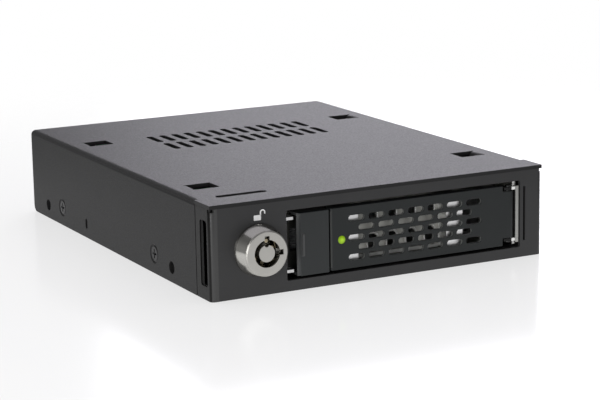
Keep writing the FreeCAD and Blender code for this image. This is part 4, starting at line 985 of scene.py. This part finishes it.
@dataclass
class Casing:
    """Base plate, top cover and front bezel, with the cover screws and the sign over the lock."""

    width_mm: float = 101.6
    front_mm: float = -65.0
    edge_mm: float = 0.06
    bezel_edge_mm: float = 0.25
    screw_ys_mm: Reach = (-28.6, 40.4)
    screw_z_mm: float = 5.5
    screw_head_mm: float = 4.7
    screw_neck_mm: float = 2.6
    screw_depth_mm: float = 0.66
    screw_sink_mm: float = 0.08
    screw_smooth_degrees: float = 15
    sign_left_mm: float = -38.2
    sign_bottom_mm: float = 20.1
    sign_width_mm: float = 2.05
    sign_height_mm: float = 1.4
    sign_corner_mm: float = 0.18
    sign_corner_segments: int = 4
    shackle_radius_mm: float = 0.62
    shackle_stroke_mm: float = 0.36
    shackle_rise_mm: float = 0.6
    shackle_shift_mm: float = 0.5
    shackle_free_leg_mm: float = 0.42
    shackle_steps: int = 16
    ink_mm: float = 0.03

    def build(self) -> None:
        """Build and dress the casing's pieces."""
        dress_node("base_plate", CASING_COAT, self.edge_mm)
        dress_node("top_cover", CASING_COAT, self.edge_mm)
        dress_node("front_bezel", BEZEL_COAT, self.bezel_edge_mm)
        dress_node("tray_rail_left", RAIL_PLASTIC, self.edge_mm)
        dress_node("tray_rail_right", RAIL_PLASTIC, self.edge_mm)
        self.build_screws()
        self.build_sign()

    def build_screws(self) -> None:
        """Build the four countersunk cover screws."""
        screw = CrossScrew(self.screw_head_mm, self.screw_depth_mm, self.screw_neck_mm)
        spots = []
        for side, way in ((-1, Way.LEFT), (1, Way.RIGHT)):
            x = side * (self.width_mm / 2 - self.screw_sink_mm)
            spots += [(Vector((x, y, self.screw_z_mm)), way) for y in self.screw_ys_mm]
        new_piece(scatter(screw.add, spots), "cover_screws", Body.CHASSIS, BLACK_OXIDE,
                  self.screw_smooth_degrees)

    def build_sign(self) -> None:
        """Build the printed open padlock over the lock."""
        place = Vector((self.sign_left_mm, self.front_mm, self.sign_bottom_mm))
        shape = scatter(self.add_sign, [(place, Way.FRONT)])
        new_piece(shape, "padlock_sign", Body.CHASSIS, WHITE_INK)

    def add_sign(self, shape: Shape) -> None:
        """Add the sign, lying down, with its lower left corner at the origin.

        Args:
            shape: The bmesh that takes the sign.
        """
        self.add_sign_body(shape)
        self.add_sign_shackle(shape)
        raised = new_verts(bmesh.ops.extrude_face_region(shape, geom=list(shape.faces)))
        bmesh.ops.translate(shape, vec=(0, 0, self.ink_mm), verts=raised)

    def add_sign_body(self, shape: Shape) -> None:
        """Add the padlock's flat body.

        Args:
            shape: The bmesh that takes the body.
        """
        verts = bmesh.ops.create_grid(shape, x_segments=1, y_segments=1, size=0.5)["verts"]
        bmesh.ops.translate(shape, vec=(0.5, 0.5, 0), verts=verts)
        bmesh.ops.scale(shape, vec=(self.sign_width_mm, self.sign_height_mm, 1), verts=verts)
        bmesh.ops.bevel(shape, geom=verts, offset=self.sign_corner_mm, offset_type="OFFSET",
                        segments=self.sign_corner_segments, profile=0.5, affect="VERTICES",
                        material=-1)

    def add_sign_shackle(self, shape: Shape) -> None:
        """Add the swung-out shackle, flat, over the body's right end.

        Args:
            shape: The bmesh that takes the shackle.
        """
        centre = Vector((self.sign_width_mm + self.shackle_shift_mm,
                         self.sign_height_mm + self.shackle_rise_mm, 0))
        half = self.shackle_stroke_mm / 2
        inner = shape.verts.new(centre - Vector((self.shackle_radius_mm - half, 0, 0)))
        outer = shape.verts.new(centre - Vector((self.shackle_radius_mm + half, 0, 0)))
        start = shape.edges.new((inner, outer))
        spun = bmesh.ops.spin(shape, geom=[inner, outer, start], cent=centre, axis=(0, 0, -1),
                              angle=math.pi, steps=self.shackle_steps)
        end = next(item for item in spun["geom_last"] if isinstance(item, bmesh.types.BMEdge))
        legs = ((start, self.shackle_rise_mm + half), (end, self.shackle_free_leg_mm))
        for edge, drop in legs:
            foot = new_verts(bmesh.ops.extrude_edge_only(shape, edges=[edge]))
            bmesh.ops.translate(shape, vec=(0, -drop, 0), verts=foot)


@dataclass
class KeyLock:
    """Tubular lock: head, plug with key post, pins, nut and cam."""

    edge_mm: float = 0.08

    def build(self) -> None:
        """Dress the lock's pieces."""
        dress_node("lock_housing", LOCK_NICKEL)
        dress_node("lock_spindle", LOCK_NICKEL)
        dress_node("lock_pins", LOCK_BRASS)
        dress_node("lock_nut", ZINC_PLATE, self.edge_mm)
        dress_node("lock_cam", ZINC_PLATE, self.edge_mm)


@dataclass
class Tray:
    """Drive tray with its front plate, hinge pin, springs and light guides, rivets and collars."""

    edge_mm: float = 0.1
    smooth_degrees: float = 40
    rivet_xs_mm: tuple[float, ...] = (-4.8, 15.2, 35.2)
    rivet_y_mm: float = -56.0
    rivet_z_mm: float = 5.35
    rivet_head_mm: float = 3.4
    rivet_rise_mm: float = 0.7
    rivet_dome: tuple[Reach, ...] = ((0, 0), (1, 0), (1, 0.25), (0.85, 0.65), (0.5, 0.92), (0, 1))
    rivet_steps: int = 24
    vent_xs_mm: tuple[float, ...] = (-0.25, 5.7, 11.65, 17.6)
    vent_zs_mm: tuple[float, ...] = (9.0, 16.6)
    vent_width_mm: float = 2.9
    vent_height_mm: float = 4.2
    vent_corner_mm: float = 0.85
    plate_front_mm: float = -59.5
    collar_width_mm: float = 0.45
    collar_rise_mm: float = 0.45
    collar_sink_mm: float = 0.05
    collar_crown: tuple[Reach, ...] = ((0, 0.7), (0.3, 1), (0.7, 0.85), (1, 0.3))
    collar_steps: int = 32

    def build(self) -> None:
        """Build and dress the tray's pieces."""
        dress_node("tray_pan", TRAY_SHEET, self.edge_mm)
        dress_node("tray_front_plate", PLATE_SHEET, self.edge_mm)
        dress_node("hinge_pin", ZINC_PLATE)
        dress_node("button_spring", SPRING_STRIP)
        dress_node("door_spring", SPRING_STRIP)
        dress_node("casing_light_guide", CLEAR_ACRYLIC)
        dress_node("tray_light_guide", CLEAR_ACRYLIC)
        spots = [(Vector((x, self.rivet_y_mm, self.rivet_z_mm)), Way.UP)
                 for x in self.rivet_xs_mm]
        new_piece(scatter(self.add_rivet, spots), "tray_rivet_heads", Body.TRAY, ZINC_PLATE,
                  self.smooth_degrees)
        spots = [(Vector((x, self.plate_front_mm, z)), Way.FRONT)
                 for x in self.vent_xs_mm for z in self.vent_zs_mm]
        new_piece(scatter(self.add_collar, spots), "plate_vent_collars", Body.TRAY, COLLAR_SHEET,
                  self.smooth_degrees)

    def add_rivet(self, whole: Shape) -> None:
        """Add one domed rivet head that stands on the origin.

        Args:
            whole: The bmesh that takes the head.
        """
        radius, rise = self.rivet_head_mm / 2, self.rivet_rise_mm
        profile = [(out * radius, up * rise) for out, up in self.rivet_dome]
        spin_profile(whole, profile, self.rivet_steps)

    def add_collar(self, whole: Shape) -> None:
        """Add the raised collar round one vent, its foot just inside the plate.

        Args:
            whole: The bmesh that takes the collar.
        """
        inner, foot = self.vent_corner_mm, -self.collar_sink_mm
        outer = inner + self.collar_width_mm
        crown = [(inner + out * self.collar_width_mm, up * self.collar_rise_mm)
                 for out, up in self.collar_crown]
        profile = [(inner, foot), *crown, (outer, foot), (inner, foot)]
        spin_profile(whole, profile, self.collar_steps)
        half_step = Matrix.Rotation(math.pi / self.collar_steps, 3, "Z")
        bmesh.ops.rotate(whole, cent=(0, 0, 0), matrix=half_step, verts=whole.verts)
        for vert in whole.verts:
            vert.co.x += math.copysign(self.vent_width_mm / 2 - inner, vert.co.x)
            vert.co.y += math.copysign(self.vent_height_mm / 2 - inner, vert.co.y)


@dataclass
class Door:
    """Perforated flap and its lamp lens."""

    edge_mm: float = 0.1

    def build(self) -> None:
        """Dress the flap's pieces."""
        dress_node("door_panel", DOOR_COAT, self.edge_mm)
        dress_node("led_lens", LENS_TINT)


@dataclass
class ReleaseButton:
    """Slide button and the plate that keeps it on."""

    edge_mm: float = 0.15

    def build(self) -> None:
        """Dress the button's pieces."""
        dress_node("release_button", BUTTON_PLASTIC, self.edge_mm)
        dress_node("button_retainer", ZINC_PLATE, self.edge_mm)


@dataclass
class Backplane:
    """Board at the back with its sockets, contacts, standoffs and lamp."""

    edge_mm: float = 0.1

    def build(self) -> None:
        """Dress the board's pieces."""
        dress_node("backplane_board", BOARD_MASK, self.edge_mm)
        dress_node("board_standoffs", ZINC_PLATE, self.edge_mm)
        dress_node("board_lamp", LAMP_PLASTIC)
        for name in ("drive_connector", "data_port", "power_port"):
            dress_node(name, CONNECTOR_PLASTIC, self.edge_mm)
        for name in ("drive_contacts", "port_contacts"):
            dress_node(name, CONTACT_GOLD)


@dataclass(frozen=True)
class Softbox:
    """Square lamp that faces a target and is not seen itself, in metres and watts."""

    name: str
    place: Triple
    target: Triple
    size: float
    watts: float
    colour: Colour = WHITE

    def hang(self) -> None:
        """Hang the lamp."""
        lamp = bpy.data.lights.new(self.name, "AREA")
        lamp.shape = "SQUARE"
        lamp.size = self.size
        lamp.energy = self.watts
        lamp.color = self.colour
        hung = bpy.data.objects.new(self.name, lamp)
        aim = Vector(self.target) - Vector(self.place)
        hung.location = self.place
        hung.rotation_euler = aim.to_track_quat("-Z", "Y").to_euler()
        hung.visible_camera = False
        bpy.context.scene.collection.objects.link(hung)
        LOG.info("hung %s", self.name)


COOL_WHITE = (0.985, 0.96, 1.05)
SOFTBOXES = (
    Softbox("overhead_softbox", (0.1, 0.35, 0.9), (0.0, 0.0, 0.0), 1.5, 2.8, COOL_WHITE),
    Softbox("rear_right_softbox", (0.75, 1.1, 0.5), (0.02, 0.0, 0.02), 0.7, 5.0, COOL_WHITE),
    Softbox("left_softbox", (-0.85, -0.75, 0.2), (-0.05, -0.06, 0.01), 0.4, 3.6),
)


@dataclass
class Studio:
    """White table and surroundings, soft lamps and the camera."""

    eye_mm: Triple = (-260.39, -520.16, 134.62)
    azimuth_degrees: float = -27.375
    elevation_degrees: float = 12.172
    roll_degrees: float = -1.019
    focal_pixels: float = 2017.36
    picture_pixels: int = 600
    sensor_mm: float = 36.0
    clip_start: float = 0.01
    floor_radius: float = 1.6
    floor_segments: int = 96
    floor_drop: float = 0.0001
    floor_tone: float = 0.45
    floor_glow: float = 0.63
    floor_gloss: float = 0.12
    floor_roughness: float = 0.15
    floor_fade: Reach = (0.09, 0.3)
    ambient: float = 0.4
    backdrop: float = 0.3
    ceiling: float = 0.15
    ceiling_reach: Reach = (0.15, 0.65)

    def build(self) -> None:
        """Set up the studio."""
        self.build_floor()
        self.light_world()
        for softbox in SOFTBOXES:
            softbox.hang()
        self.place_camera()
        bpy.context.scene.view_settings.view_transform = "Standard"

    def build_floor(self) -> None:
        """Lay a round white table that fades into the background at its rim."""
        shape = bmesh.new()
        bmesh.ops.create_circle(shape, cap_ends=True, segments=self.floor_segments,
                                radius=self.floor_radius)
        bmesh.ops.translate(shape, vec=(0, 0, -self.floor_drop), verts=shape.verts)
        mesh = bpy.data.meshes.new("table")
        shape.to_mesh(mesh)
        shape.free()
        mesh.materials.append(self.floor_material())
        table = bpy.data.objects.new("table", mesh)
        bpy.context.scene.collection.objects.link(table)

    def floor_material(self) -> bpy.types.Material:
        """Give the table's material.

        Returns:
            White lacquer that turns into bare background away from the middle.
        """
        sheet = ShaderSheet("white_table")
        sheet.put({
            "Base Color": (self.floor_tone,) * 3,
            "Roughness": self.floor_roughness,
            "Specular IOR Level": self.floor_gloss,
            "Emission Color": WHITE,
            "Emission Strength": self.floor_glow})
        radius = sheet.add("VectorMath", {0: sheet.place}, operation="LENGTH").outputs["Value"]
        fade = sheet.ramp(radius, self.floor_fade, 0.0, 1.0)
        bare = sheet.add("BsdfTransparent").outputs["BSDF"]
        mixed = sheet.add("MixShader", {0: fade, 1: sheet.shader.outputs["BSDF"], 2: bare})
        sheet.fill(sheet.tree.nodes["Material Output"], {"Surface": mixed.outputs["Shader"]})
        return sheet.material

    def light_world(self) -> None:
        """Make the surroundings white to the eye, dim for soft light and graded in mirrors."""
        world = bpy.data.worlds.new("white_studio")
        world.use_nodes = True
        bpy.context.scene.world = world
        sheet = NodeSheet(world.node_tree)
        path = sheet.add("LightPath").outputs
        seen, soft, graded = (
            sheet.add("Background", {"Color": WHITE, "Strength": strength}).outputs[0]
            for strength in (1.0, self.ambient, self.room_light(sheet)))
        mirrored = sheet.calculate("MAXIMUM", path["Is Glossy Ray"], path["Is Transmission Ray"])
        indirect = sheet.add("MixShader", {0: mirrored, 1: soft, 2: graded}).outputs[0]
        whole = sheet.add("MixShader", {0: path["Is Camera Ray"], 1: indirect, 2: seen})
        sheet.fill(sheet.tree.nodes["World Output"], {"Surface": whole.outputs[0]})

    def room_light(self, sheet: NodeSheet) -> Socket:
        """Give the brightness of the surroundings: a backdrop all round under a dim ceiling.

        Args:
            sheet: The surroundings' nodes.

        Returns:
            The brightness's socket.
        """
        direction = sheet.add("TexCoord").outputs["Generated"]
        height = sheet.add("SeparateXYZ", {"Vector": direction}).outputs["Z"]
        return sheet.ramp(height, self.ceiling_reach, self.backdrop, self.ceiling)

    def place_camera(self) -> None:
        """Place the camera at the photograph's viewpoint."""
        degrees = (self.azimuth_degrees, self.elevation_degrees, self.roll_degrees)
        azimuth, elevation, roll = map(math.radians, degrees)
        level = math.cos(elevation)
        back = Vector((math.sin(azimuth) * level, -math.cos(azimuth) * level, math.sin(elevation)))
        side = Vector((0, 0, 1)).cross(back).normalized()
        upward = back.cross(side)
        right = math.cos(roll) * side + math.sin(roll) * upward
        upward = math.cos(roll) * upward - math.sin(roll) * side
        lens = bpy.data.cameras.new("photo_camera")
        lens.sensor_width = self.sensor_mm
        lens.lens = self.sensor_mm * self.focal_pixels / self.picture_pixels
        lens.clip_start = self.clip_start
        camera = bpy.data.objects.new("photo_camera", lens)
        turn = Matrix((right, upward, back)).transposed().to_4x4()
        camera.matrix_world = Matrix.Translation(Vector(self.eye_mm) * MM) @ turn
        bpy.context.scene.collection.objects.link(camera)
        bpy.context.scene.camera = camera


def main() -> None:
    """Build every sub-assembly in order."""
    logging.basicConfig(level=logging.INFO, format="%(name)s: %(message)s")
    for assembly in (Casing(), KeyLock(), Tray(), Door(), ReleaseButton(), Backplane(), Studio()):
        assembly.build()


if __name__ == "__main__":
    main()
